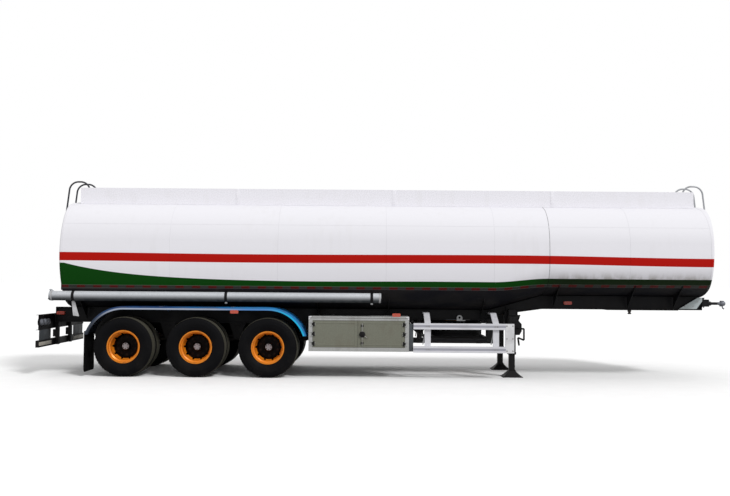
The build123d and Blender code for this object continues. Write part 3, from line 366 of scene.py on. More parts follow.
@dataclass(frozen=True)
class Livery:
    """The barrel's white paint with its stripe, its tapering sweep, the dashed tape and the dark belly; the
    belly's near black, the darker top, the dark front of the sweep, the brownish low front of the white and
    the dim tape are painted shade, and the belly's lighter rear edge is painted light.

    Attributes:
        name: Name of the material.
        shade: Share of the light that the finish gives back, less on dirty seams.
        white: Colour of the barrel's side.
        top: Colour of its top, painted darker than the side as shade.
        stripe: Colour of the stripe.
        sweep: Colour of the sweep under the stripe.
        sweep_dirty: Darker, browner colour of the sweep at the front, painted shade.
        belly: Near-black colour below the tape, painted shade of the underside.
        belly_dirt: Colour of the dirt there.
        belly_edge: Lighter colour of its upper edge at the rear, painted light.
        tape: Colours of the tape's pale and red dashes, both darkened as painted shade.
        film: Colour of the grime that runs down the white.
        mud: Brownish colour of the white low at the front, painted shade of the flank turning under, laid in
            streaks.
        stripe_low: Lower edge of the stripe.
        stripe_high: Upper edge of the stripe.
        sweep_base: Height that the sweep's upper edge tapers to.
        sweep_rise: Rise of that edge at its start.
        sweep_start: Place along X where the sweep starts.
        sweep_reach: Length over which it tapers.
        step_start: Place along X where the belly starts to rise.
        step_end: Place along X where it ends.
        step_rise: Rise of the sweep and tape over the step.
        tape_low: Lower edge of the tape.
        tape_high: Upper edge of the tape.
        dash: Length of one dash of the tape.
    """

    name: str = "barrel_livery"
    shade: float = 1.0
    white: Colour = (0.835, 0.825, 0.87)
    top: Colour = (0.765, 0.757, 0.795)
    stripe: Colour = (0.44, 0.004, 0.0005)
    sweep: Colour = (0.0004, 0.048, 0.0004)
    sweep_dirty: Colour = (0.006, 0.007, 0.002)
    belly: Colour = (0.007, 0.007, 0.010)
    belly_dirt: Colour = (0.030, 0.026, 0.022)
    belly_edge: Colour = (0.040, 0.038, 0.036)
    tape: tuple[Colour, Colour] = ((0.034, 0.033, 0.029), (0.085, 0.006, 0.005))
    film: Colour = (0.60, 0.58, 0.56)
    mud: Colour = (0.25, 0.22, 0.17)
    stripe_low: float = 2.064
    stripe_high: float = 2.216
    sweep_base: float = 1.742
    sweep_rise: float = 0.33
    sweep_start: float = -5.97
    sweep_reach: float = 1.25
    step_start: float = 1.9
    step_end: float = 2.9
    step_rise: float = 0.070
    tape_low: float = 1.611
    tape_high: float = 1.658
    dash: float = 0.15

    def build(self) -> bpy.types.Material:
        """Make the material."""
        graph = Graph(self.name)
        x, z, span, mix = graph.x, graph.z, graph.span, graph.mix
        step = span(x, self.step_start, self.step_end, 0.0, self.step_rise)
        taper = graph.math("EXPONENT", graph.math("DIVIDE", x - self.sweep_start, -self.sweep_reach))
        edge = taper * self.sweep_rise + self.sweep_base + span(x, -2.0, 1.0, 0.0, 0.022) + step
        edge = graph.math("MINIMUM", edge, self.stripe_low - 0.006)
        sway = span(x, -5.9, -2.7, 0.036, 0.020) + span(x, -2.3, 2.0, 0.0, 0.017)
        sway = sway + span(x, 2.3, 5.9, 0.0, -0.037)
        tape_low, tape_high = step + self.tape_low, step + self.tape_high
        cloud = graph.noise(0.7, 3.0)
        streak = graph.noise(9.0, 5.0, (1.0, 1.0, 0.08), 2.0)
        # Low at the front the white is painted brownish as shade, broken into streaks.
        front_low_shade_streaks = span(z, 1.72, 2.0, 1.0, 0.0) * span(streak, 0.3, 0.7)
        # The white is painted darker towards the top as shade.
        white = mix(span(z, 2.15, 2.85), self.white, self.top)
        white = mix(span(cloud * streak, 0.25, 0.45, 0.0, 0.10), white, self.film)
        white = mix(front_low_shade_streaks * span(x, 2.5, 3.4, 0.0, 0.85), white, self.mud)
        colour = mix(graph.band(z - sway, self.stripe_low, self.stripe_high, 0.002), white, self.stripe)
        # The sweep is painted darker towards the front as shade.
        sweep = mix(span(x, 2.4, 3.2, 0.0, 0.75), self.sweep, self.sweep_dirty)
        colour = mix(graph.band(z, tape_high, edge, 0.003), colour, sweep)
        # Below the tape the barrel is painted near black as the shade of its underside, mottled at random,
        # with a painted lighter band along its upper edge at the rear.
        belly_grime = span(graph.noise(3.0, 5.0, (0.6, 1.0, 1.0), 5.0), 0.35, 0.7, 0.0, 0.4)
        belly = mix(belly_grime, self.belly, self.belly_dirt)
        edge_light = span(z, 1.56, 1.60) * span(x, -2.6, -4.9, 0.0, 1.0)
        belly = mix(edge_light, belly, self.belly_edge)
        below = span(tape_low - z, -0.002, 0.002)
        # The tape's dashes are dimmed as painted shade under the flank.
        red = graph.dashes(x, 30.0, self.dash, 0.0015)
        on_tape = graph.band(z, tape_low, tape_high, 0.001)
        tape = mix(red, *self.tape)
        colour = mix(on_tape, mix(below, colour, belly), tape)
        normal = graph.bump(graph.noise(0.9, 2.0, (0.6, 1.0, 1.0), 9.0), 0.012, 0.5)
        normal = graph.bump(graph.noise(3.5, 2.0, (0.3, 1.0, 1.2)), 0.0025, 0.5, normal)
        return graph.finish(
            Base_Color=graph.lit(colour, self.shade),
            Roughness=span(cloud, 0.3, 0.7, 0.46, 0.54) + below * 0.2,
            Specular_IOR_Level=0.12,
            Normal=graph.bump(on_tape, 0.0006, 1.0, normal),
        )


@dataclass(frozen=True)
class Film:
    """The mudguards' blue film, with a lip that runs from grey over silver to cyan at the front; the lip's
    colours, the film's brightening toward the front and its dark rear end are painted reflections.

    Attributes:
        name: Name of the material.
        rear: Colour of the film at the rear.
        front: Colour of the film at the front.
        lip_side: Distance from the centre line where the lip starts.
        edge: Distance from the outer axles above which the lip is blue too.
    """

    name: str = "mudguard_film"
    rear: Colour = (0.006, 0.045, 0.16)
    front: Colour = (0.015, 0.20, 0.50)
    lip_side: float = 1.2405
    edge: float = 0.704

    def build(self) -> bpy.types.Material:
        """Make the material."""
        graph = Graph(self.name)
        x, span = graph.x, graph.span
        patches = graph.noise(1.7, 4.0)
        # The blue film is painted brighter toward the front and darker at the rear end as reflection.
        film = graph.mix(span(x, -4.6, -1.8) + span(patches, 0.3, 0.7, -0.15, 0.15), self.rear, self.front)
        film = graph.mix(span(x, -5.45, -5.0, 1.0, 0.0), film, (0.025, 0.035, 0.055))
        dust = span(graph.noise(5.0, 6.0, shift=4.0), 0.42, 0.75) * 0.3
        film = graph.mix(dust, film, (0.08, 0.08, 0.085))
        # The lip's grey, silver, blue and cyan along its length are painted sky reflections.
        lip = (0.018, 0.024, 0.036)
        for start, end, colour in (
            (-5.45, -4.95, (0.36, 0.41, 0.52)),
            (-3.3, -2.5, (0.09, 0.26, 0.60)),
            (-2.3, -1.8, (0.008, 0.46, 0.78)),
        ):
            lip = graph.mix(span(x, start, end), lip, colour)
        behind = graph.math("MAXIMUM", AXLES["rear"] - x, 0.0)
        ahead = graph.math("MAXIMUM", x - AXLES["front"], 0.0)
        reach = graph.distance(behind + ahead, graph.z - AXLE_HEIGHT)
        on_lip = span(graph.side, self.lip_side - 0.001, self.lip_side + 0.001)
        on_lip = on_lip * span(reach, self.edge - 0.003, self.edge + 0.003, 1.0, 0.0)
        return graph.finish(
            Base_Color=graph.mix(on_lip, film, lip),
            Roughness=span(patches, 0.3, 0.7, 0.25, 0.42),
            Specular_IOR_Level=0.3,
            Normal=graph.bump(graph.noise(14.0, 3.0, shift=2.0), 0.002, 0.4),
        )


@dataclass(frozen=True)
class Rubber:
    """Tyre or flap rubber with dust that gathers low and in the grooves, and a tread that is partly dusty and
    partly lightened as painted light.

    Attributes:
        name: Name of the material.
        colour: Clean colour.
        tread: Distance from the wheels' axes beyond which the tread's dust and painted light lie.
        dust: Colour of the dust.
        tread_dust: Colour of the tread, partly dust and partly painted light.
        dust_share: Share of the dust.
    """

    name: str
    colour: Colour = (0.0040, 0.0040, 0.0048)
    tread: float = 9.0
    dust: Colour = (0.022, 0.020, 0.018)
    tread_dust: Colour = (0.080, 0.076, 0.058)
    dust_share: float = 0.25

    def build(self) -> bpy.types.Material:
        """Make the material."""
        graph = Graph(self.name)
        patches = graph.span(graph.noise(6.0, 6.0), 0.42, 0.72)
        share = patches * graph.span(graph.z, 0.0, 0.9, 1.0, 0.35) * self.dust_share
        # The tread is painted lighter: partly dust, partly painted light.
        dusty_lit_tread = graph.span(graph.wheel_reach(), self.tread, self.tread + 0.006) * 0.9
        normal = graph.bump(graph.noise(220.0, 2.0), 0.0006, 0.5)
        return graph.finish(
            Base_Color=graph.mix(dusty_lit_tread, graph.mix(share, self.colour, self.dust), self.tread_dust),
            Roughness=graph.span(patches, 0.0, 1.0, 0.50, 0.75),
            Specular_IOR_Level=0.07,
            Normal=graph.bump(graph.noise(30.0, 3.0, shift=6.0), 0.0008, 0.4, normal),
        )


@dataclass(frozen=True)
class WheelPaint:
    """Orange rims round dark discs, each with a grey hub cap; the discs' dark and the dark inboard rims are
    painted shade.

    Attributes:
        name: Name of the material.
        rim: Colour of the rims and the discs' slopes.
        rust: Colour of the rims' rust.
        disc: Near-black colour of the discs, hubs and drums: their own dark, with painted shade over the
            dished discs.
        disc_rust: Colour of their rust.
        cap: Colour of the hub caps.
        disc_edge: Distance from the axis where the disc's painted shade ends.
        cap_edge: Radius of a hub cap.
        outer_side: Distance from the centre line below which the rims are painted dark as shade.
    """

    name: str = "wheel_paint"
    rim: Colour = (0.80, 0.24, 0.010)
    rust: Colour = (0.22, 0.075, 0.02)
    disc: Colour = (0.0045, 0.0030, 0.0026)
    disc_rust: Colour = (0.022, 0.011, 0.007)
    cap: Colour = (0.30, 0.28, 0.29)
    disc_edge: float = 0.2240
    cap_edge: float = 0.062
    outer_side: float = 0.96

    def build(self) -> bpy.types.Material:
        """Make the material."""
        graph = Graph(self.name)
        span = graph.span
        reach = graph.wheel_reach()
        mottle = graph.noise(9.0, 6.0)
        rust = span(graph.noise(17.0, 5.0, shift=5.0), 0.5, 0.75) * 0.55
        # Inside the disc edge, and everywhere inboard of the outer side, the orange gives way to painted shade
        # with random rust.
        disc = graph.mix(span(mottle, 0.45, 0.75, 0.0, 0.5), self.disc, self.disc_rust)
        painted = span(graph.side, self.outer_side - 0.01, self.outer_side + 0.01)
        painted = painted * span(reach, self.disc_edge - 0.001, self.disc_edge + 0.001)
        colour = graph.mix(painted, disc, graph.mix(rust, self.rim, self.rust))
        on_cap = span(reach, self.cap_edge - 0.002, self.cap_edge, 1.0, 0.0)
        return graph.finish(
            Base_Color=graph.mix(on_cap, colour, self.cap),
            Roughness=span(mottle, 0.3, 0.7, 0.28, 0.42),
            Metallic=painted * 0.25,
            Specular_IOR_Level=span(painted, 0.0, 1.0, 0.06, 0.5),
            Normal=graph.bump(mottle, 0.0015, 0.5),
        )


@dataclass(frozen=True)
class Lens:
    """A coloured lamp lens with fine ribs behind a gloss.

    Attributes:
        name: Name of the material.
        colour: Colour of the lens.
        pale: Colour of its lighter facets, painted highlights along the ribs.
        pitch: Ribs a metre.
    """

    name: str
    colour: Colour
    pale: Colour
    pitch: float = 160.0

    def build(self) -> bpy.types.Material:
        """Make the material."""
        graph = Graph(self.name)
        ribs = (graph.math("SINE", place * (self.pitch * math.tau)) for place in (graph.y, graph.z, graph.x))
        height = next(ribs) + next(ribs) + next(ribs)
        return graph.finish(
            # The ribs' lighter facets are painted highlights.
            Base_Color=graph.mix(graph.span(height, -1.0, 2.0, 0.0, 0.55), self.colour, self.pale),
            Roughness=graph.span(graph.noise(40.0), 0.3, 0.7, 0.10, 0.22),
            Coat_Weight=1.0,
            Coat_Roughness=0.05,
            Normal=graph.bump(height, 0.0008, 0.5),
        )


@dataclass(frozen=True)
class Grooved:
    """The side guards' drawn aluminium: a wide groove along each rail and ribs down the end plate, with the
    grooves, the ribs' hollows and the inner faces painted darker as shade.

    Attributes:
        name: Name of the material.
        colour: Clean colour.
        rails: Heights of the rails' middles.
        groove: Half width of the groove.
        plate: Place along X where the end plate starts.
        pitch: Distance between the end plate's ribs.
        rail_edges: Lower and upper edge of each rail.
        rail_back: Distance of the rails' inner faces from the middle of the trailer.
        post_back: Distance of the posts' inner faces from the middle of the trailer.
    """

    name: str = "grooved_guard"
    colour: Colour = (0.70, 0.70, 0.74)
    rails: tuple[float, float] = (0.5375, 0.955)
    groove: float = 0.020
    plate: float = 2.112
    pitch: float = 0.020
    rail_edges: Line = ((0.479, 0.596), (0.899, 1.011))
    rail_back: float = 1.205
    post_back: float = 1.175

    def build(self) -> bpy.types.Material:
        """Make the material."""
        graph = Graph(self.name)
        span, mix = graph.span, graph.mix
        half = self.groove
        on_rails = (graph.band(graph.z, rail - half, rail + half, 0.0015) for rail in self.rails)
        groove = graph.math("MAXIMUM", *on_rails)
        on_plate = span(graph.x, self.plate - 0.001, self.plate + 0.001)
        ribs = span(graph.math("SINE", graph.x * (math.tau / self.pitch)), 0.2, 0.9) * on_plate
        groove = groove * (1.0 - on_plate)
        stain = span(graph.noise(6.0, 6.0, (0.5, 1.0, 1.0)), 0.45, 0.8, 0.0, 0.35)
        # Inner faces behind the rails and posts are found next and painted near black as shade.
        covered = on_plate
        for low, high in self.rail_edges:
            covered = graph.math("MAXIMUM", covered, graph.band(graph.z, low, high, 0.0005))
        back = span(covered, 0.0, 1.0, self.post_back, self.rail_back) + 0.002
        inward_shade = graph.math("LESS_THAN", graph.side, back)
        inward_shade = inward_shade * graph.math("LESS_THAN", graph.z, self.rail_edges[1][1])
        colour = self.colour
        # The groove and the ribs' hollows are painted darker as shade.
        for share, layer in (
            (groove * 0.75, (0.27, 0.27, 0.33)),
            (on_plate * 0.9, (0.86, 0.86, 0.87)),
            (ribs * 0.4, (0.40, 0.40, 0.44)),
            (stain, (0.28, 0.27, 0.27)),
            (inward_shade * 0.93, (0.016, 0.016, 0.018)),
        ):
            colour = mix(share, colour, layer)
        normal = graph.bump(1.0 - graph.math("MAXIMUM", groove, ribs), 0.004, 0.8)
        return graph.finish(
            Base_Color=colour,
            Roughness=span(stain, 0.0, 0.35, 0.40, 0.6),
            Metallic=0.15,
            Specular_IOR_Level=0.3,
            Normal=graph.bump(graph.noise(50.0, 3.0, (0.2, 1.0, 1.0)), 0.0004, 0.4, normal),
        )


@dataclass(frozen=True)
class Tape:
    """Dashed reflecting tape on the bumper's bar.

    Attributes:
        name: Name of the material.
        dash: Length of one dash in metres.
    """

    name: str = "bumper_tape"
    dash: float = 0.20

    def build(self) -> bpy.types.Material:
        """Make the material."""
        graph = Graph(self.name)
        red = graph.dashes(graph.y, 20.0, self.dash, 0.001)
        stain = graph.span(graph.noise(12.0, 5.0), 0.4, 0.8, 0.0, 0.5)
        colour = graph.mix(stain, graph.mix(red, (0.72, 0.70, 0.62), (0.48, 0.03, 0.02)), (0.25, 0.22, 0.18))
        comb = graph.node("ShaderNodeTexVoronoi", Vector=graph.place, Scale=260.0).outputs["Distance"]
        return graph.finish(Base_Color=colour, Roughness=0.35, Normal=graph.bump(comb, 0.0003, 0.5))


BLACK = (0.0042, 0.0042, 0.0055)
SOOT = (0.022, 0.019, 0.016)
FINISHES = (
    Coat("chassis_black", BLACK, SOOT, 0.45, 0.3, 0.4, 1.5, 0.35, gloss=0.18),
    Coat("rail_black", BLACK, SOOT, 0.45, 0.2, 0.4, 1.5, 0.2, gloss=0.18,
         bare=((1.10, 0.5205, 1.02), (1.55, 0.80, 1.22)), bare_colour=(0.46, 0.47, 0.48)),
    Coat("bracket_grey", BLACK, SOOT, 0.45, 0.2, 0.4, 1.5, 0.2, gloss=0.25,
         bare=((5.40, 0.49, 1.20), (5.948, 0.60, 1.60)), bare_colour=(0.47, 0.52, 0.53)),
    Coat("sheet_bare", (0.50, 0.51, 0.53), (0.30, 0.28, 0.26), 0.40, 0.3, 0.5, 2.0, 0.2, 0.35, 0.003),
    Coat("ladder_steel", (0.045, 0.047, 0.055), (0.12, 0.10, 0.09), 0.42, 0.3, 0.5, 2.0, 0.2, 0.3,
         bare=((0.0, -1.0, 0.0), (9.0, 1.0, 9.0)), bare_colour=(0.42, 0.43, 0.45)),
    Coat("cabinet_grey", (0.185, 0.190, 0.150), (0.14, 0.12, 0.09), 0.5, 0.35, 0.4, 1.2, 0.2, 0.0, 0.001),
    Coat("cabinet_frame", (0.43, 0.435, 0.43), (0.22, 0.21, 0.19), 0.45, 0.35, 0.4, 1.2, 0.2, 0.0, 0.001),
    # Hose tubes: the darkening from top to underside is painted shade.
    Coat("tube_bare", (0.56, 0.58, 0.61), (0.035, 0.040, 0.045), 0.5, 0.10, 1.385, 1.51, 1.0, 0.1, 0.001,
         even=0.94),
    Coat("axle_black", (0.006, 0.006, 0.007), (0.035, 0.028, 0.022), 0.6, 0.5, 0.3, 1.1, 0.4, gloss=0.15),
    Coat("spring_dark", (0.008, 0.007, 0.007), (0.045, 0.028, 0.018), 0.55, 0.5, 0.3, 1.1, 0.35,
         gloss=0.15),
    Coat("rim_orange", (0.80, 0.27, 0.022), (0.20, 0.10, 0.05), 0.4, 0.35, 0.0, 1.0, 0.25, 0.0, 0.001),
    Coat("nut_dark", (0.010, 0.006, 0.005), (0.04, 0.02, 0.012), 0.5, 0.5, 0.0, 1.0, 0.3, gloss=0.1),
    Coat("guard_dark", (0.075, 0.085, 0.095), (0.12, 0.11, 0.10), 0.45, 0.3, 0.3, 1.1, 0.2, 0.2),
    Coat("coupling_cast", (0.20, 0.21, 0.24), (0.06, 0.06, 0.06), 0.42, 0.4, 1.0, 1.5, 0.2, 0.4),
    Coat("kingpin_greased", (0.10, 0.09, 0.085), (0.02, 0.018, 0.016), 0.35, 0.8, 1.0, 1.5, 0.3, 0.7),
    Coat("pipe_bare", (0.40, 0.40, 0.41), (0.20, 0.18, 0.16), 0.40, 0.35, 0.6, 1.3, 0.25, 0.4),
    Coat("zinc_bolts", (0.42, 0.42, 0.42), (0.20, 0.15, 0.11), 0.40, 0.5, 0.2, 1.3, 0.25, 0.5),
    Coat("black_moulding", (0.0055, 0.0055, 0.0065), (0.03, 0.026, 0.022), 0.5, 0.4, 0.3, 1.2, 0.3,
         gloss=0.2),
    Coat("white_paint", (0.855, 0.845, 0.89), (0.60, 0.58, 0.56), 0.5, 0.10, 0.5, 1.4, 0.2, gloss=0.12),
    Coat("pale_tape", (0.50, 0.47, 0.41), (0.16, 0.14, 0.11), 0.5, 0.4, 0.3, 1.0, 0.2),
    Coat("chequer_plate", (0.76, 0.76, 0.78), (0.20, 0.20, 0.21), 0.4, 0.7, 0.3, 1.2, 0.1, 0.1),
    Livery(),
    Livery("seam_livery", 0.94),
    Livery("cone_seam_livery", 0.42),
    Film(),
    WheelPaint(),
    Rubber("tyre_rubber", tread=0.5265),
    Rubber("flap_rubber", (0.0045, 0.0045, 0.005)),
    Lens("lens_red", (0.30, 0.010, 0.006), (0.55, 0.06, 0.04)),
    Lens("lens_orange", (0.42, 0.030, 0.012), (0.70, 0.14, 0.07)),
    Grooved(),
    Tape(),
)
CAD_FINISHES = {
    "barrel_livery": ("tank_",),
    "white_paint": ("spill_",),
    "sheet_bare": ("walkways", "manholes", "fill_lid"),
    "ladder_steel": ("ladders",),
    "chassis_black": ("neck_", "cross_", "outriggers", "coupler_", "landing_", "spring_hangers",
                      "rear_bumper", "air_reservoirs", "spare_carrier", "hose_brackets"),
    "rail_black": ("chassis_",),
    "bracket_grey": ("front_bracket",),
    "kingpin_greased": ("kingpin",),
    "grooved_guard": ("side_guards",),
    "cabinet_frame": ("valve_cabinets",),
    "cabinet_grey": ("rear_door", "front_door"),
    "tube_bare": ("hose_tubes", "hose_cap"),
    "mudguard_film": ("mudguards",),
    "flap_rubber": ("mud_flaps", "spare_tyre"),
    "spring_dark": ("leaf_springs",),
    "axle_black": ("axle_beams",),
    "tyre_rubber": ("tyres_",),
    "wheel_paint": ("wheel_",),
    "rim_orange": ("spare_rim",),
    "lens_red": ("tail_lamps",),
    "lens_orange": ("marker_lamps",),
    "pipe_bare": ("discharge_pipes",),
    "coupling_cast": ("air_couplings",),
}


class Form:
    """Collects the faces of one piece and turns them into an object."""

    def __init__(self) -> None:
        """Start with no faces."""
        self.mesh = bmesh.new()

    def skin(self, rings: Sequence[Sequence[Vector]], closed: bool = True, caps: bool = True) -> None:
        """Stretch faces between rings of points.

        Args:
            rings: Rings with the same number of points.
            closed: Whether each ring is a loop.
            caps: Whether the first and last ring get a face.
        """
        made = [[self.mesh.verts.new(point) for point in ring] for ring in rings]
        count = len(made[0])
        for first, second in zip(made, made[1:]):
            for index in range(count if closed else count - 1):
                following = (index + 1) % count
                self.mesh.faces.new((first[index], first[following], second[following], second[index]))
        if caps and closed:
            self.mesh.faces.new(made[0])
            self.mesh.faces.new(made[-1])

    def prism(self, outline: Sequence[Sequence[float]], depth: Sequence[float]) -> None:
        """Add a plate.

        Args:
            outline: Corners in space.
            depth: Vector from one face to the other.
        """
        ring = [Vector(point) for point in outline]
        self.skin([ring, [point + Vector(depth) for point in ring]])

    def rod(self, points: Sequence[Sequence[float]], radius: float, sides: int = 12) -> None:
        """Add a round rod.

        Args:
            points: Points of the rod's line.
            radius: Radius of the rod.
            sides: Sides of its section.
        """
        path = [Vector(point) for point in points]
        last = len(path) - 1
        tangents = [
            (path[min(index + 1, last)] - path[max(index - 1, 0)]).normalized() for index in range(last + 1)
        ]
        across = tangents[0].orthogonal().normalized()
        rings = []
        for point, tangent in zip(path, tangents):
            across = (across - tangent * across.dot(tangent)).normalized()
            beside = tangent.cross(across)
            turns = [math.tau * step / sides for step in range(sides)]
            spokes = [math.cos(turn) * across + math.sin(turn) * beside for turn in turns]
            rings.append([point + radius * spoke for spoke in spokes])
        self.skin(rings)

    def lathe(
        self, profile: Sequence[tuple[float, float]], centre: Sequence[float], axis: Sequence[float],
        steps: int = 48, closed: bool = False,
    ) -> None:
        """Turn a profile round an axis.

        Args:
            profile: Radius and distance along the axis of each point.
            centre: Point on the axis at distance zero.
            axis: Direction of the axis.
            steps: Steps of a full turn.
            closed: Whether the profile is a loop; otherwise its ends at radius zero are closed by poles.
        """
        spine = Vector(axis).normalized()
        across = spine.orthogonal().normalized()
        beside = spine.cross(across)
        rings = []
        for step in range(steps):
            turn = math.tau * step / steps
            out = math.cos(turn) * across + math.sin(turn) * beside
            rings.append([Vector(centre) + spine * along + out * radius for radius, along in profile])
        self.skin(rings + [rings[0]], closed, False)

    def block(
        self, along: tuple[float, float], across: tuple[float, float], up: tuple[float, float],
        bevel: float, side: Side = Side.LEFT,
    ) -> None:
        """Add a block with bevelled edges.

        Args:
            along: Its two ends along X.
            across: Its two ends along Y, measured outwards on its side.
            up: Its lower and upper face.
            bevel: Width of the bevel.
            side: Side of the trailer that it lies on.
        """
        across = sorted(side.value * place for place in across)
        low, high = (Vector(corner) for corner in zip(sorted(along), across, up))
        block = bmesh.new()
        bmesh.ops.create_cube(block, size=1.0)
        block.transform(Matrix.Translation((low + high) / 2) @ Matrix.Diagonal((*(high - low), 1.0)))
        bmesh.ops.bevel(block, geom=block.edges, offset=bevel, segments=2, profile=0.5, affect="EDGES")
        plain = bpy.data.meshes.new("block")
        block.to_mesh(plain)
        block.free()
        self.mesh.from_mesh(plain)
        bpy.data.meshes.remove(plain)


class Scatter:
    """Geometry Nodes tree that puts a shape on each point of a mesh, turned to the point's direction."""

    def __init__(self, name: str, sockets: dict[str, str]) -> None:
        """Start the tree.

        Args:
            name: Name of the tree.
            sockets: Kinds of its inputs by name, besides the places and the finish.
        """
        self.tree = bpy.data.node_groups.new(name, "GeometryNodeTree")
        for label, kind in {"Places": "Geometry", **sockets, "Finish": "Material"}.items():
            self.tree.interface.new_socket(label, in_out="INPUT", socket_type=f"NodeSocket{kind}")
        self.tree.interface.new_socket("Result", in_out="OUTPUT", socket_type="NodeSocketGeometry")
        self.given = self.node("NodeGroupInput", {}).outputs
        facing = self.node("GeometryNodeInputNamedAttribute", {"Name": "facing"}, data_type="FLOAT_VECTOR")
        aim = self.node("FunctionNodeAlignRotationToVector", {"Vector": facing.outputs["Attribute"]})
        self.aim = aim.outputs[0]

    def node(self, kind: str, inputs: dict[str | int, object], **settings: object) -> bpy.types.Node:
        """Add a node.

        Args:
            kind: Type name of the node.
            inputs: Sockets or plain values by the input's name or number.
            **settings: Properties of the node.

        Returns:
            The new node.
        """
        node = self.tree.nodes.new(kind)
        for name, value in settings.items():
            setattr(node, name, value)
        for name, value in inputs.items():
            if isinstance(value, bpy.types.NodeSocket):
                self.tree.links.new(value, node.inputs[name])
            else:
                node.inputs[name].default_value = value
        return node

    def close(self, shape: bpy.types.NodeSocket, rotation: bpy.types.NodeSocket) -> None:
        """Put the shape on the places and end the tree.

        Args:
            shape: Geometry of one instance.
            rotation: Its turn.
        """
        wanted = {"Points": self.given["Places"], "Instance": shape, "Rotation": rotation}
        placed = self.node("GeometryNodeInstanceOnPoints", wanted)
        real = self.node("GeometryNodeRealizeInstances", {0: placed.outputs[0]})
        wanted = {"Geometry": real.outputs[0], "Material": self.given["Finish"]}
        self.node("NodeGroupOutput", {0: self.node("GeometryNodeSetMaterial", wanted).outputs[0]})

    def grow(self, name: str, places: Sequence[Spot], values: dict[str, object]) -> bpy.types.Object:
        """Run the tree on points and keep the result as a plain mesh.

        Args:
            name: Name of the object.
            places: Point and direction of each instance.
            values: Inputs of the tree by name.

        Returns:
            The object with its mesh and no modifier.
        """
        data = bpy.data.meshes.new(name)
        data.from_pydata([tuple(place) for place, _ in places], [], [])
        attribute = data.attributes.new("facing", "FLOAT_VECTOR", "POINT")
        for index, (_, facing) in enumerate(places):
            attribute.data[index].vector = Vector(facing).normalized()
        thing = bpy.data.objects.new(name, data)
        bpy.context.scene.collection.objects.link(thing)
        modifier = thing.modifiers.new("grow", "NODES")
        modifier.node_group = self.tree
        for item in self.tree.interface.items_tree:
            if item.in_out == "INPUT" and item.name in values:
                modifier[item.identifier] = values[item.name]
        graph = bpy.context.evaluated_depsgraph_get()
        made = bpy.data.meshes.new_from_object(thing.evaluated_get(graph), depsgraph=graph)
        thing.modifiers.clear()
        thing.data = made
        return thing


class Bolts(Scatter):
    """Puts bolt heads with washers, each turned at random."""

    def __init__(self) -> None:
        """Build the node tree."""
        sizes = dict.fromkeys(("Radius", "Height", "Washer"), "Float")
        super().__init__("bolt_heads", {**sizes, "Seed": "Int"})
        height = self.given["Height"]
        lift, thin = (
            self.node("ShaderNodeMath", {0: height, 1: share}, operation="MULTIPLY").outputs[0]
            for share in (0.6, 0.4)
        )
        hexagon = {"Vertices": 6, "Radius": self.given["Radius"], "Depth": height}
        head = self.node("GeometryNodeMeshCylinder", hexagon).outputs["Mesh"]
        rise = self.node("ShaderNodeCombineXYZ", {"Z": lift}).outputs[0]
        raised = self.node("GeometryNodeTransform", {"Geometry": head, "Translation": rise})
        disc = {"Vertices": 14, "Radius": self.given["Washer"], "Depth": thin}
        washer = self.node("GeometryNodeMeshCylinder", disc)
        joined = self.node("GeometryNodeJoinGeometry", {0: raised.outputs[0]})
        self.tree.links.new(washer.outputs["Mesh"], joined.inputs[0])
        draw = {3: math.tau, "Seed": self.given["Seed"]}
        spin = self.node("FunctionNodeRandomValue", draw, data_type="FLOAT")
        turn = self.node("FunctionNodeAxisAngleToRotation", {"Angle": spin.outputs[1]}).outputs[0]
        both = self.node("FunctionNodeRotateRotation", {0: self.aim, 1: turn}, rotation_space="LOCAL")
        self.close(joined.outputs[0], both.outputs[0])


class Blocks(Scatter):
    """Puts small blocks."""

    def __init__(self) -> None:
        """Build the node tree."""
        super().__init__("small_blocks", {"Size": "Vector"})
        self.close(self.node("GeometryNodeMeshCube", {"Size": self.given["Size"]}).outputs["Mesh"], self.aim)


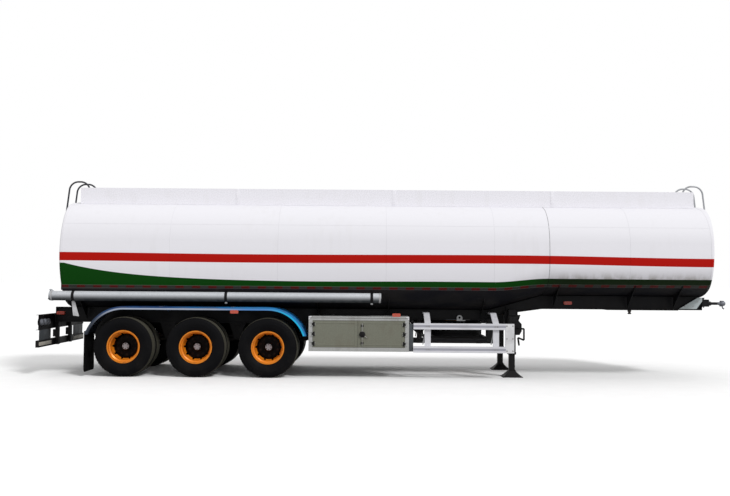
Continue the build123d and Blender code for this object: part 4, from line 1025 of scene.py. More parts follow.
class Workshop:
    """The materials and the trees, with what makes finished pieces from them."""

    def __init__(self) -> None:
        """Build the materials and the trees, and dress the CAD nodes."""
        self.finishes = {finish.name: finish.build() for finish in FINISHES}
        self.bolt_tree = Bolts()
        self.block_tree = Blocks()
        for finish, prefixes in CAD_FINISHES.items():
            for name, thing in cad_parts.items():
                if name.startswith(prefixes):
                    self.dress(thing, finish)

    def dress(self, thing: bpy.types.Object, finish: str) -> None:
        """Give an object one material, by its name."""
        thing.data.materials.clear()
        thing.data.materials.append(self.finishes[finish])

    def settle(self, thing: bpy.types.Object, finish: str, body: str) -> bpy.types.Object:
        """Link a finished object, dress it and fasten it to its body.

        Args:
            thing: The object.
            finish: Name of its material.
            body: Body that it rides on.

        Returns:
            The same object.
        """
        if thing.name not in bpy.context.scene.collection.objects:
            bpy.context.scene.collection.objects.link(thing)
        self.dress(thing, finish)
        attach(thing, body)
        LOG.info("%s: %d faces on %s", thing.name, len(thing.data.polygons), body)
        return thing

    def piece(
        self, form: Form, name: str, finish: str, slot: Slot, body: str = ROOT, sharp: float = 35.0
    ) -> bpy.types.Object:
        """Make a piece from its faces.

        Args:
            form: The faces.
            name: Name of the piece.
            finish: Name of its material.
            slot: Not used.
            body: Body that it rides on.
            sharp: Angle in degrees above which an edge stays sharp.

        Returns:
            The new object.
        """
        bmesh.ops.remove_doubles(form.mesh, verts=form.mesh.verts, dist=1e-6)
        bmesh.ops.recalc_face_normals(form.mesh, faces=form.mesh.faces)
        data = bpy.data.meshes.new(name)
        form.mesh.to_mesh(data)
        form.mesh.free()
        data.shade_smooth()
        data.set_sharp_from_angle(angle=math.radians(sharp))
        return self.settle(bpy.data.objects.new(name, data), finish, body)

    def bolts(
        self, name: str, places: Sequence[Spot], size: float, finish: str, slot: Slot, body: str = ROOT
    ) -> None:
        """Put bolt heads on places.

        Args:
            name: Name of the piece.
            places: Point and outward direction of each bolt.
            size: Radius of a head.
            finish: Name of the bolts' material.
            slot: Not used.
            body: Body that the bolts ride on.
        """
        values = {"Radius": size, "Height": size * 0.8, "Washer": size * 1.5, "Seed": len(places)}
        values["Finish"] = self.finishes[finish]
        self.settle(self.bolt_tree.grow(name, places, values), finish, body)

    def blocks(
        self, name: str, places: Sequence[Spot], size: Point, finish: str, slot: Slot, body: str = ROOT
    ) -> None:
        """Put small blocks on places.

        Args:
            name: Name of the piece.
            places: Centre and upward direction of each block.
            size: Size of a block.
            finish: Name of the blocks' material.
            slot: Not used.
            body: Body that the blocks ride on.
        """
        values = {"Size": size, "Finish": self.finishes[finish]}
        self.settle(self.block_tree.grow(name, places, values), finish, body)


def ring(centre: Sequence[float], radius: float, count: int) -> list[tuple[float, float]]:
    """Points on a circle, half a step from its first axis.

    Args:
        centre: Its middle in two coordinates.
        radius: Its radius.
        count: Number of points.

    Returns:
        The points in the same two coordinates.
    """
    turns = [math.tau * (step + 0.5) / count for step in range(count)]
    return [(centre[0] + radius * math.cos(turn), centre[1] + radius * math.sin(turn)) for turn in turns]


def arc(start: Vector, middle: Vector, end: Vector, count: int) -> list[Vector]:
    """Points on the arc through three points in a plane.

    Args:
        start: First point.
        middle: Point on the arc.
        end: Last point.
        count: Number of points, both ends included.

    Returns:
        The points in order.
    """
    first, second = middle - start, end - start
    cross = 2 * (first.x * second.y - first.y * second.x)
    squares = first.length_squared, second.length_squared
    centre = start + Vector(
        (second.y * squares[0] - first.y * squares[1], first.x * squares[1] - second.x * squares[0])
    ) / cross
    turns = [math.atan2(point.y - centre.y, point.x - centre.x) for point in (start, middle, end)]
    sweep = (turns[2] - turns[0]) % math.tau
    if (turns[1] - turns[0]) % math.tau > sweep:
        sweep -= math.tau
    radius = (start - centre).length
    turns = [turns[0] + sweep * (step / (count - 1)) for step in range(count)]
    return [centre + radius * Vector((math.cos(turn), math.sin(turn))) for turn in turns]


@dataclass
class BarrelSection:
    """Outline of the barrel: four large arcs with rounded corners.

    Attributes:
        belly: Height of the underside.
        top: Height of the crown.
        waist: Height of the widest place.
        half_width: Half of the width.
        crown_radius: Radius of crown and belly.
        side_radius: Radius of each side.
        shoulder_radius: Radius between crown and side.
        bilge_radius: Radius between side and belly.
    """

    belly: float = 1.2
    top: float = 3.25
    waist: float = 2.25
    half_width: float = 1.245
    crown_radius: float = 2.6
    side_radius: float = 2.4
    shoulder_radius: float = 0.76
    bilge_radius: float = 0.54

    def corner(self, centre: Vector, radius: float) -> tuple[Vector, Vector, Vector]:
        """Round the corner between the side and the crown or belly.

        Args:
            centre: Centre of the crown's or belly's circle.
            radius: Radius of the corner.

        Returns:
            Where the corner leaves the crown or belly, its middle, and where it meets the side.
        """
        side = Vector((self.half_width - self.side_radius, self.waist))
        far, near = self.side_radius - radius, self.crown_radius - radius
        gap = side - centre
        along = (near**2 - far**2 + gap.length_squared) / (2 * gap.length)
        across = math.sqrt(near**2 - along**2)
        unit = gap.normalized()
        turned = Vector((-unit.y, unit.x))
        found = max((centre + unit * along + turned * sign * across for sign in (-1, 1)), key=lambda p: p.x)
        meets = found + (found - centre).normalized() * radius
        leaves = found + (found - side).normalized() * radius
        middle = found + ((meets - found) + (leaves - found)).normalized() * radius
        return meets, middle, leaves

    def between(self, centre: Vector, radius: float, start: Vector, end: Vector, count: int) -> list[Vector]:
        """Points of an arc, without its last one.

        Args:
            centre: Middle of its circle.
            radius: Radius of its circle.
            start: First point.
            end: Last point.
            count: Number of points with the last one.

        Returns:
            The points in order.
        """
        middle = centre + ((start - centre) + (end - centre)).normalized() * radius
        return arc(start, middle, end, count)[:-1]

    def half(self) -> list[Vector]:
        """Points from the crown round the left side to the belly, as (y, z)."""
        crown = Vector((0.0, self.top - self.crown_radius))
        keel = Vector((0.0, self.belly + self.crown_radius))
        side = Vector((self.half_width - self.side_radius, self.waist))
        upper = self.corner(crown, self.shoulder_radius)
        lower = self.corner(keel, self.bilge_radius)
        points = self.between(crown, self.crown_radius, Vector((0.0, self.top)), upper[0], 10)
        points += arc(*upper, 12)[:-1]
        points += self.between(side, self.side_radius, upper[2], lower[2], 12)
        points += arc(lower[2], lower[1], lower[0], 10)[:-1]
        points += self.between(keel, self.crown_radius, lower[0], Vector((0.0, self.belly)), 10)
        return points + [Vector((0.0, self.belly))]

    def flank(self, height: float) -> tuple[Vector, Vector]:
        """Find the place on the left side at a height above the ground, with its outward normal."""
        points = self.half()
        for first, second in zip(points, points[1:]):
            if second.y <= height <= first.y:
                run = second - first
                reach = first.x + (first.y - height) / (first.y - second.y) * run.x
                return Vector((reach, height)), Vector((-run.y, run.x)).normalized()
        raise ValueError(height)


@dataclass
class Assembly:
    """A group of pieces that dress one part of the trailer.

    Attributes:
        shop: Materials and trees.
    """

    shop: Workshop


@dataclass
class Seams(Assembly):
    """Weld beads on the barrel, round it and along it.

    Attributes:
        low: Places along X of the seams round the deep barrel.
        high: Places of the seams round the raised barrel, the first of them at the cone.
        bellies: Heights of the underside of the deep and the raised barrel.
        length_height: Height of the seam along it.
        half: Half width of a bead.
        rise: Height of a bead.
        section: Points of a bead's section, in shares of its half width and height.
    """

    low: tuple[float, ...] = (-5.95, -4.0, -2.03, -0.06, 1.91)
    high: tuple[float, ...] = (2.91, 4.38, 5.85)
    bellies: tuple[float, float] = (1.2, 1.48)
    length_height: float = 2.78
    half: float = 0.007
    rise: float = 0.0026
    section: Line = ((-1, -0.5), (-0.5, 1), (0.5, 1), (1, -0.5))

    def build(self) -> None:
        """Make the beads."""
        form, cone = Form(), Form()
        for places, belly in ((self.low, self.bellies[0]), (self.high, self.bellies[1])):
            half = BarrelSection(belly).half()
            loop = half + [Vector((-point.x, point.y)) for point in reversed(half[1:-1])]
            for place in places:
                self.hoop(cone if place == self.high[0] else form, loop, place)
        middle, normal = BarrelSection().flank(self.length_height)
        tangent = Vector((-normal.y, normal.x))
        points = [
            middle + tangent * across * self.half + normal * up * self.rise for across, up in self.section
        ]
        for side in Side:
            form.skin([
                [Vector((place, side.value * point.x, point.y)) for point in points]
                for place in (self.low[0], self.high[-1])
            ])
        self.shop.piece(form, "barrel_weld_beads", "seam_livery", Slot.BARREL)
        self.shop.piece(cone, "cone_weld_bead", "cone_seam_livery", Slot.BARREL)

    def hoop(self, form: Form, loop: list[Vector], place: float) -> None:
        """Add one bead round the barrel.

        Args:
            form: Form that takes the faces.
            loop: Outline of the barrel.
            place: Place along X.
        """
        rings = []
        for index, point in enumerate(loop):
            run = loop[(index + 1) % len(loop)] - loop[index - 1]
            normal = Vector((-run.y, run.x)).normalized()
            bead = []
            for along, up in self.section:
                raised = point + normal * up * self.rise
                bead.append(Vector((place + along * self.half, raised.x, raised.y)))
            rings.append(bead)
        form.skin(rings + [rings[0]], True, False)


@dataclass
class Tyres(Assembly):
    """Twin tyres with ribbed tread, shoulder lugs and moulded side walls.

    Attributes:
        half: Half of the width.
        bead: Place across, and then radius, of the bead's edge at the rim.
        foot: Radius of the tyre's foot.
        pitch: Distance between the twins.
        track: Half of the track, to the middle of the twins.
        grooves: Places of the tread's grooves across the tyre, from the outer side.
        ridges: Height of the ridges on the side wall, by the number of its point.
        lugs: Number of shoulder lugs round a tyre.
        spare: Place along X and height of the spare tyre's middle.
    """

    half: float = 0.150
    bead: tuple[float, float] = (0.1037, 0.302)
    foot: float = 0.2873
    pitch: float = 0.345
    track: float = 0.925
    grooves: tuple[float, ...] = (0.078, 0.027, -0.027, -0.078)
    ridges: tuple[tuple[int, float], ...] = (
        (1, 0.0035), (2, 0.0035), (5, 0.0012), (9, 0.0016), (10, 0.0016), (13, 0.0022), (14, 0.0022)
    )
    lugs: int = 60
    spare: tuple[float, float] = (1.294, 0.871)

    def profile(self) -> list[tuple[float, float]]:
        """Closed profile of one tyre as (radius, place across)."""
        shoulder, drop = self.half - 0.022, 0.014
        outer = AXLE_HEIGHT - drop
        wall = arc(Vector(self.bead), Vector((self.half, 0.4145)), Vector((shoulder, outer)), 17)
        ridges = dict(self.ridges)
        side = [(point.y, point.x - 0.0015 + ridges.get(index, 0.0)) for index, point in enumerate(wall[:-1])]
        tread = [(outer - 0.004, shoulder + 0.0005)]
        marks = [shoulder - 0.006]
        for groove in self.grooves:
            marks += [groove + 0.006, groove + 0.0035, groove - 0.0035, groove - 0.006]
        marks.append(-shoulder + 0.006)
        for index, mark in enumerate(marks):
            depth = 0.012 if index % 4 in (2, 3) and 0 < index < len(marks) - 1 else 0.0
            tread.append((AXLE_HEIGHT - drop * (mark / shoulder) ** 2 - depth, mark))
        tread.append((outer - 0.004, -shoulder - 0.0005))
        other = [(radius, -across) for radius, across in reversed(side)]
        return [(self.foot, self.bead[0])] + side + tread + other + [(self.foot, -self.bead[0])]

    def wheel(self, name: str, place: float, side: Side) -> None:
        """Make the tyres of one wheel.

        Args:
            name: Name of the axle and the side.
            place: Place of the axle along X.
            side: Side of the trailer.
        """
        form = Form()
        lugs = []
        for twin in (-1, 1):
            middle = side.value * self.track + twin * self.pitch / 2
            form.lathe(self.profile(), (place, middle, AXLE_HEIGHT), (0, 1, 0), 72, closed=True)
            for end in (-1, 1):
                for step in range(self.lugs):
                    turn = math.tau * (step + 0.25 * end) / self.lugs
                    out = Vector((math.cos(turn), 0.0, math.sin(turn)))
                    centre = Vector((place, middle + end * 0.1295, AXLE_HEIGHT))
                    lugs.append((centre + out * (AXLE_HEIGHT - 0.024), out))
        body = f"wheel_{name}"
        tyres = self.shop.piece(form, f"ribbed_tyres_{name}", "tyre_rubber", Slot.TYRE, body, 28.0)
        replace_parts(tyres, f"tyres_{name}")
        size = (0.030, 0.014, 0.022)
        self.shop.blocks(f"shoulder_lugs_{name}", lugs, size, "tyre_rubber", Slot.TYRE, body)

    def build(self) -> None:
        """Make the tyres of all wheels and the spare."""
        for axle, place in AXLES.items():
            for side in Side:
                self.wheel(f"{axle}_{side.label}", place, side)
        form = Form()
        form.lathe(self.profile(), (self.spare[0], 0.0, self.spare[1]), (0, 0, 1), 72, closed=True)
        tyre = self.shop.piece(form, "ribbed_spare_tyre", "flap_rubber", Slot.TYRE, ROOT, 28.0)
        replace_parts(tyre, "spare_tyre")


@dataclass
class WheelFittings(Assembly):
    """Wheel nuts and hub bolts.

    Attributes:
        circles: For nuts and hub bolts: their name, number, circle's radius, distance of their
            face from the centre line and size.
    """

    circles: tuple[tuple[str, int, float, float, float], ...] = (
        ("wheel_nuts", 10, 0.1675, 0.925 + 0.017, 0.019),
        ("hub_bolts", 6, 0.046, 0.925 + 0.1265, 0.006),
    )

    def build(self) -> None:
        """Make the fittings of every wheel."""
        for axle, place in AXLES.items():
            for side in Side:
                name = f"{axle}_{side.label}"
                for kind, count, circle, face, size in self.circles:
                    spots = [
                        ((x, side.value * face, z), side.out)
                        for x, z in ring((place, AXLE_HEIGHT), circle, count)
                    ]
                    self.shop.bolts(f"{kind}_{name}", spots, size, "nut_dark", Slot.RIM, f"wheel_{name}")


@dataclass
class RoofFittings(Assembly):
    """What is fastened on the roof: cover bolts, vents, lid handles, tread bars and coaming straps.

    Attributes:
        manholes: Places of the manholes along X.
        cover_top: Height of the covers' upper face.
        cover_circle: Radius of the circle of a cover's bolts.
        lid_top: Height of the lids' upper face.
        straps: Places of the straps over the coaming's joints.
        coaming: Distance of the coaming's outer face from the centre line.
        coaming_up: Height of its foot and of its top.
        first_tread: Middle of the rearmost tread bar.
        tread_size: Size of a tread bar.
        tread_pitch: Distance between tread bars.
        treads: Number of tread bars on a walkway.
        vent: Profile of a capped vent.
    """

    manholes: tuple[float, ...] = (-4.70, -2.35, 0.0, 2.35, 4.70)
    cover_top: float = 3.324
    cover_circle: float = 0.274
    lid_top: float = 3.4003
    straps: tuple[float, ...] = (-2.88, 0.09, 3.10)
    coaming: float = 0.550
    coaming_up: tuple[float, float] = (3.193, 3.499)
    first_tread: Point = (-5.68, 0.425, 3.2585)
    tread_size: Point = (0.012, 0.195, 0.004)
    tread_pitch: float = 0.055
    treads: int = 206
    vent: Line = (
        (0.0, 0.0), (0.018, 0.0), (0.018, 0.05), (0.034, 0.052), (0.036, 0.062), (0.030, 0.074), (0.0, 0.080)
    )

    def build(self) -> None:
        """Make every roof piece."""
        rivets = []
        form, vents = Form(), Form()
        for place in self.straps:
            for side in Side:
                skin = (self.coaming + 0.0002, self.coaming + 0.0035)
                form.block((place - 0.035, place + 0.035), skin, self.coaming_up, 0.0012, side)
                for step in range(6):
                    for shift in (-0.02, 0.02):
                        height = self.coaming_up[0] + 0.03 + step * 0.048
                        rivets.append(((place + shift, side.value * skin[1], height), side.out))
        self.shop.piece(form, "coaming_joint_straps", "white_paint", Slot.SHEET)
        self.shop.bolts("coaming_rivets", rivets, 0.004, "white_paint", Slot.SHEET)
        bolts = [
            ((x, y, self.cover_top), (0, 0, 1))
            for place in self.manholes for x, y in ring((place, 0.0), self.cover_circle, 20)
        ]
        self.shop.bolts("manhole_bolts", bolts, 0.008, "zinc_bolts", Slot.SHEET)
        for place in self.manholes:
            for side in Side:
                centre = (place + 0.13, side.value * 0.195, self.cover_top)
                vents.lathe(self.vent, centre, (0, 0, 1), 20)
        self.shop.piece(vents, "manhole_vents", "coupling_cast", Slot.SHEET)
        for number, place in enumerate(self.manholes, start=1):
            self.handle(number, place)
        start, reach, height = self.first_tread
        bars = [
            ((start + step * self.tread_pitch, side.value * reach, height), (0, 0, 1))
            for side in Side for step in range(self.treads)
        ]
        self.shop.blocks("walkway_tread_bars", bars, self.tread_size, "sheet_bare", Slot.SHEET)

    def handle(self, number: int, place: float) -> None:
        """Make a lid's clamp bar with its grip.

        Args:
            number: Number of the lid.
            place: Place of the manhole.
        """
        form = Form()
        top = self.lid_top + 0.009
        form.block((place - 0.10, place + 0.10), (-0.020, 0.020), (self.lid_top - 0.001, top), 0.003)
        neck = ((0.09, 0.004), (0.125, -0.002), (0.150, -0.014))
        form.rod([(place + ahead, 0.0, top + rise) for ahead, rise in neck], 0.008, 10)
        form.rod([(place + 0.147, y, top - 0.013) for y in (-0.045, 0.045)], 0.007, 10)
        self.shop.piece(form, f"lid_clamp_{number}", "zinc_bolts", Slot.SHEET, f"fill_lid_{number}")


@dataclass
class TubeFittings(Assembly):
    """Clamp bolts of the hose tubes' straps, the tubes' collars and the caps' catches.

    Attributes:
        straps: Places of the straps.
        centre: Distance of the tubes' middle from the centre line.
        height: Height of their middle.
        radius: Their outer radius.
        rear: Their open end.
        front: Place of their front collar.
        hook: Points of a catch's hook, behind the cap and below the tube's middle.
    """

    straps: tuple[float, ...] = (-5.75, -2.97, -0.32)
    centre: float = 1.162
    height: float = 1.457
    radius: float = 0.0875
    rear: float = -6.17
    front: float = -0.202
    hook: Line = ((0.004, 0.03), (0.030, 0.045), (0.032, 0.075))

    def build(self) -> None:
        """Make the fittings on both sides."""
        form = Form()
        bolts = []
        inner, outer = self.radius + 0.0004, self.radius + 0.004
        collar = [(inner, 0.012), (outer, 0.012), (outer, 0.046), (inner, 0.046)]
        foot = self.height - self.radius - 0.005
        back = self.rear - 0.0125
        for side in Side:
            y = side.value * self.centre
            width = (self.centre - 0.022, self.centre + 0.022)
            for place in self.straps:
                form.block((place - 0.02, place + 0.02), width, (foot - 0.030, foot), 0.003, side)
                bolts.append(((place, y + side.value * 0.0225, foot - 0.016), side.out))
            for place in (self.rear, self.front):
                form.lathe(collar, (place, y, self.height), (1, 0, 0), 40, closed=True)
        self.shop.piece(form, "hose_tube_collars", "sheet_bare", Slot.TUBE)
        self.shop.bolts("hose_strap_bolts", bolts, 0.008, "zinc_bolts", Slot.TUBE)
        for side in Side:
            catch = Form()
            width = (self.centre - 0.012, self.centre + 0.012)
            catch.block((back - 0.006, back), width, (self.height - 0.080, self.height - 0.02), 0.002, side)
            y = side.value * self.centre
            catch.rod([(back - behind, y, self.height - drop) for behind, drop in self.hook], 0.006, 10)
            name = f"hose_cap_{side.label}"
            self.shop.piece(catch, f"{name}_catch", "zinc_bolts", Slot.TUBE, name)


@dataclass
class MudguardFittings(Assembly):
    """Rolled bead on the mudguards' outer edge, their stiffening ribs, clamp bolts and stay plates.

    Attributes:
        radius: Outer radius of the guards.
        foot: Height of the guards' ends.
        outer: Distance of the outer edge from the centre line.
        rib: Points of a rib's section, across and up.
        stay: Corners of a stay plate, as (x, z).
    """

    radius: float = 0.730
    foot: float = 0.760
    outer: float = 1.248
    rib: Line = ((-0.02, -0.003), (-0.012, 0.003), (0.012, 0.003), (0.02, -0.003))
    stay: Line = (
        (-5.805, 1.350), (-5.745, 1.350), (-5.665, 1.080), (-5.775, 1.095)
    )

    def line(self, radius: float, count: int = 15) -> list[tuple[float, float]]:
        """Side view of a line along the guard at a radius.

        Args:
            radius: Distance from the axles' circles.
            count: Points of each rounded end.

        Returns:
            Points as (x, z), from the rear foot to the front foot.
        """
        low = math.asin((self.foot - AXLE_HEIGHT) / radius)
        turns = [low + (math.pi / 2 - low) * step / (count - 1) for step in range(count)]
        ends = [(radius * math.cos(turn), AXLE_HEIGHT + radius * math.sin(turn)) for turn in turns]
        rear = [(AXLES["rear"] - reach, height) for reach, height in ends]
        return rear + [(AXLES["front"] + reach, height) for reach, height in reversed(ends)]

    def build(self) -> None:
        """Make the pieces on both sides."""
        form, ribs, plates = Form(), Form(), Form()
        bolts = []
        for side in Side:
            for drop, radius in ((0.050, 0.006), (0.002, 0.005)):
                line = self.line(self.radius - drop)
                form.rod([(x, side.value * (self.outer - 0.006), z) for x, z in line], radius, 8)
            for inset in (0.20, 0.45):
                near = side.value * (self.outer - inset)
                rings = []
                for x, z in self.line(self.radius + 0.001):
                    out = Vector((0.0, 0.0, 1.0))
                    if not AXLES["rear"] <= x <= AXLES["front"]:
                        axle = AXLES["rear"] if x < AXLES["rear"] else AXLES["front"]
                        out = Vector((x - axle, 0.0, z - AXLE_HEIGHT)).normalized()
                    rings.append([Vector((x, near + across, z)) + out * up for across, up in self.rib])
                ribs.skin(rings)
            for place in (-4.183, -4.147, -2.873, -2.837):
                for inset in (0.12, 0.3, 0.5):
                    spot = (place, side.value * (self.outer - inset), AXLE_HEIGHT + self.radius)
                    bolts.append((spot, (0, 0, 1)))
            outline = [(x, side.value * 1.100, z) for x, z in self.stay]
            plates.prism(outline, (0.0, side.value * 0.004, 0.0))
        self.shop.piece(form, "mudguard_beads", "mudguard_film", Slot.MUDGUARD)
        self.shop.piece(ribs, "mudguard_ribs", "mudguard_film", Slot.MUDGUARD)
        self.shop.bolts("mudguard_bolts", bolts, 0.007, "zinc_bolts", Slot.MUDGUARD)
        self.shop.piece(plates, "mudguard_stay_plates", "chequer_plate", Slot.SHEET)


@dataclass
class CabinetFittings(Assembly):
    """Door panels' pressings, latches, locks, hinges and corner plates of the valve cabinets.

    Attributes:
        face: Distance of the cabinets' face from the centre line.
        rear: Rear edge of the door opening.
        meeting: Where the doors meet.
        front: Front edge of the door opening.
        foot: Lower edge of the opening.
        head: Upper edge of the opening.
        hinge_heights: Heights of the hinges.
        catch: Place of latch and lock along X.
        plate: Distance of the door's outer face from the cabinet's face.
        lock: Profile of the lock's disc.
        rim: Inset and height of each line of the pressing's rim.
    """

    face: float = 1.230
    rear: float = -1.390
    meeting: float = -0.568
    front: float = 0.290
    foot: float = 0.560
    head: float = 1.050
    hinge_heights: tuple[float, ...] = (0.630, 0.805, 0.980)
    catch: float = -0.488
    plate: float = 0.0122
    lock: Line = (
        (0.0, 0.0), (0.055, 0.0), (0.055, 0.010), (0.047, 0.014), (0.020, 0.015), (0.017, 0.022), (0.0, 0.023)
    )
    rim: Line = ((0.0, 0.0002), (0.004, 0.0035), (0.014, 0.0035), (0.018, 0.0002))

    def build(self) -> None:
        """Make the pieces on both sides."""
        for side in Side:
            self.door("rear", side, (self.rear, self.meeting), self.rear, 1)
            self.door("front", side, (self.meeting, self.front), self.front, -1)
            self.fasteners(side)
            corners, drip = Form(), Form()
            y = side.value * (self.face + 0.0005)
            for place, lead in ((self.rear - 0.07, 1), (self.front + 0.07, -1)):
                outline = [(place, y, 1.120), (place + lead * 0.060, y, 1.120), (place, y, 1.060)]
                corners.prism(outline, (0.0, side.value * 0.004, 0.0))
            self.shop.piece(corners, f"cabinet_corner_plates_{side.label}", "white_paint", Slot.CABINET)
            along, skin = (self.rear - 0.066, self.front + 0.066), (self.face - 0.002, self.face + 0.012)
            drip.block(along, skin, (1.098, 1.106), 0.002, side)
            self.shop.piece(drip, f"cabinet_drip_edge_{side.label}", "cabinet_frame", Slot.CABINET)

    def door(self, leaf: str, side: Side, ends: tuple[float, float], hinge: float, lead: int) -> None:
        """Make a door's pressing, hinge screws and hinge caps.

        Args:
            leaf: Name of the door.
            side: Side of the trailer.
            ends: Rear and front edge of the door.
            hinge: Place of the hinges along X.
            lead: Direction along X from the hinges over the door.
        """
        body = f"{leaf}_door_{side.label}"
        form, caps = Form(), Form()
        rings = []
        for inset, out in self.rim:
            rear, front = ends[0] + 0.045 + inset, ends[1] - 0.045 - inset
            low, high = self.foot + 0.04 + inset, self.head - 0.04 - inset
            corners = ((rear, low), (front, low), (front, high), (rear, high))
            rings.append([Vector((x, side.value * (self.face + out), z)) for x, z in corners])
        form.skin(rings, True, False)
        self.shop.piece(form, f"{leaf}_door_pressing_{side.label}", "cabinet_grey", Slot.CABINET, body)
        screws = []
        for height in self.hinge_heights:
            axis = (hinge, side.value * (self.face + 0.010))
            caps.rod([(*axis, height - 0.0235), (*axis, height + 0.0235)], 0.0092, 16)
            along = (hinge + lead * 0.012, hinge + lead * 0.040)
            skin = (self.face + self.plate, self.face + 0.0152)
            caps.block(along, skin, (height - 0.040, height + 0.040), 0.001, side)
            for reach in (0.028, 0.050):
                for rise in (-0.013, 0.013):
                    spot = (hinge + lead * reach, side.value * (self.face + 0.0085), height + rise)
                    screws.append((spot, side.out))
        self.shop.bolts(f"{leaf}_hinge_screws_{side.label}", screws, 0.004, "zinc_bolts", Slot.CABINET, body)
        self.shop.piece(caps, f"{leaf}_hinge_caps_{side.label}", "black_moulding", Slot.CABINET, body)

    def fasteners(self, side: Side) -> None:
        """Make the front door's latch and lock.

        Args:
            side: Side of the trailer.
        """
        latch, lock = Form(), Form()
        place, body = self.catch, f"front_door_{side.label}"
        skin = self.face + self.plate
        latch.block((place - 0.020, place + 0.020), (skin, self.face + 0.020), (0.745, 0.855), 0.003, side)
        rod, out = side.value * (self.face + 0.017), side.value * (self.face + 0.019)
        latch.rod([(place, rod, 0.60), (place, rod, 1.0)], 0.0055, 10)
        latch.rod([(place, out, 0.79), (place + 0.03, out, 0.78), (place + 0.09, out, 0.74)], 0.0055, 10)
        self.shop.piece(latch, f"door_latch_{side.label}", "zinc_bolts", Slot.CABINET, body)
        lock.lathe(self.lock, (place, side.value * skin, 0.800), side.out, 28)
        for height in (0.645, 0.955):
            along, up = (place - 0.025, place + 0.025), (height - 0.016, height + 0.016)
            lock.block(along, (skin, self.face + 0.019), up, 0.002, side)
        self.shop.piece(lock, f"door_lock_{side.label}", "black_moulding", Slot.CABINET, body)


@dataclass
class GuardFittings(Assembly):
    """Bolts, slanted braces and the rear ends' plates of the side guards, the plates dark grey as painted
    shade inside the end posts.

    Attributes:
        face: Distance of the guards' face from the centre line.
        posts: Places of the posts.
        rails: Heights of the rails' middles.
        end: Places of the end plate's bolts along X.
        end_heights: Heights of those bolts.
        brace: Points of a brace, behind its post, beside the centre line and up.
    """

    face: float = 1.245
    posts: tuple[float, ...] = (0.70, 1.94)
    rails: tuple[float, ...] = (0.5375, 0.955)
    end: tuple[float, ...] = (2.13, 2.24)
    end_heights: tuple[float, ...] = (0.52, 0.74, 0.97)
    brace: tuple[Point, ...] = ((0.085, 1.160, 0.62), (0.03, 1.160, 0.90), (0.02, 1.110, 0.99))

    def build(self) -> None:
        """Make the pieces on both sides."""
        form, plates = Form(), Form()
        bolts = []
        for side in Side:
            spots = [
                (place + shift, height) for place in self.posts for height in self.rails
                for shift in (-0.022, 0.022)
            ]
            spots += [(place, height) for place in self.end for height in self.end_heights]
            bolts += [((x, side.value * self.face, z), side.out) for x, z in spots]
            for place in self.posts:
                form.rod([(place - back, side.value * y, z) for back, y, z in self.brace], 0.010, 10)
            # Dark plates inside the rear end posts: painted shade of the channel's opening.
            plates.block((0.3615, 0.4385), (1.196, 1.204), (0.495, 0.995), 0.002, side)
        self.shop.piece(form, "guard_braces", "sheet_bare", Slot.GUARD)
        self.shop.piece(plates, "guard_rear_plates", "guard_dark", Slot.GUARD)
        self.shop.bolts("guard_bolts", bolts, 0.009, "zinc_bolts", Slot.GUARD)


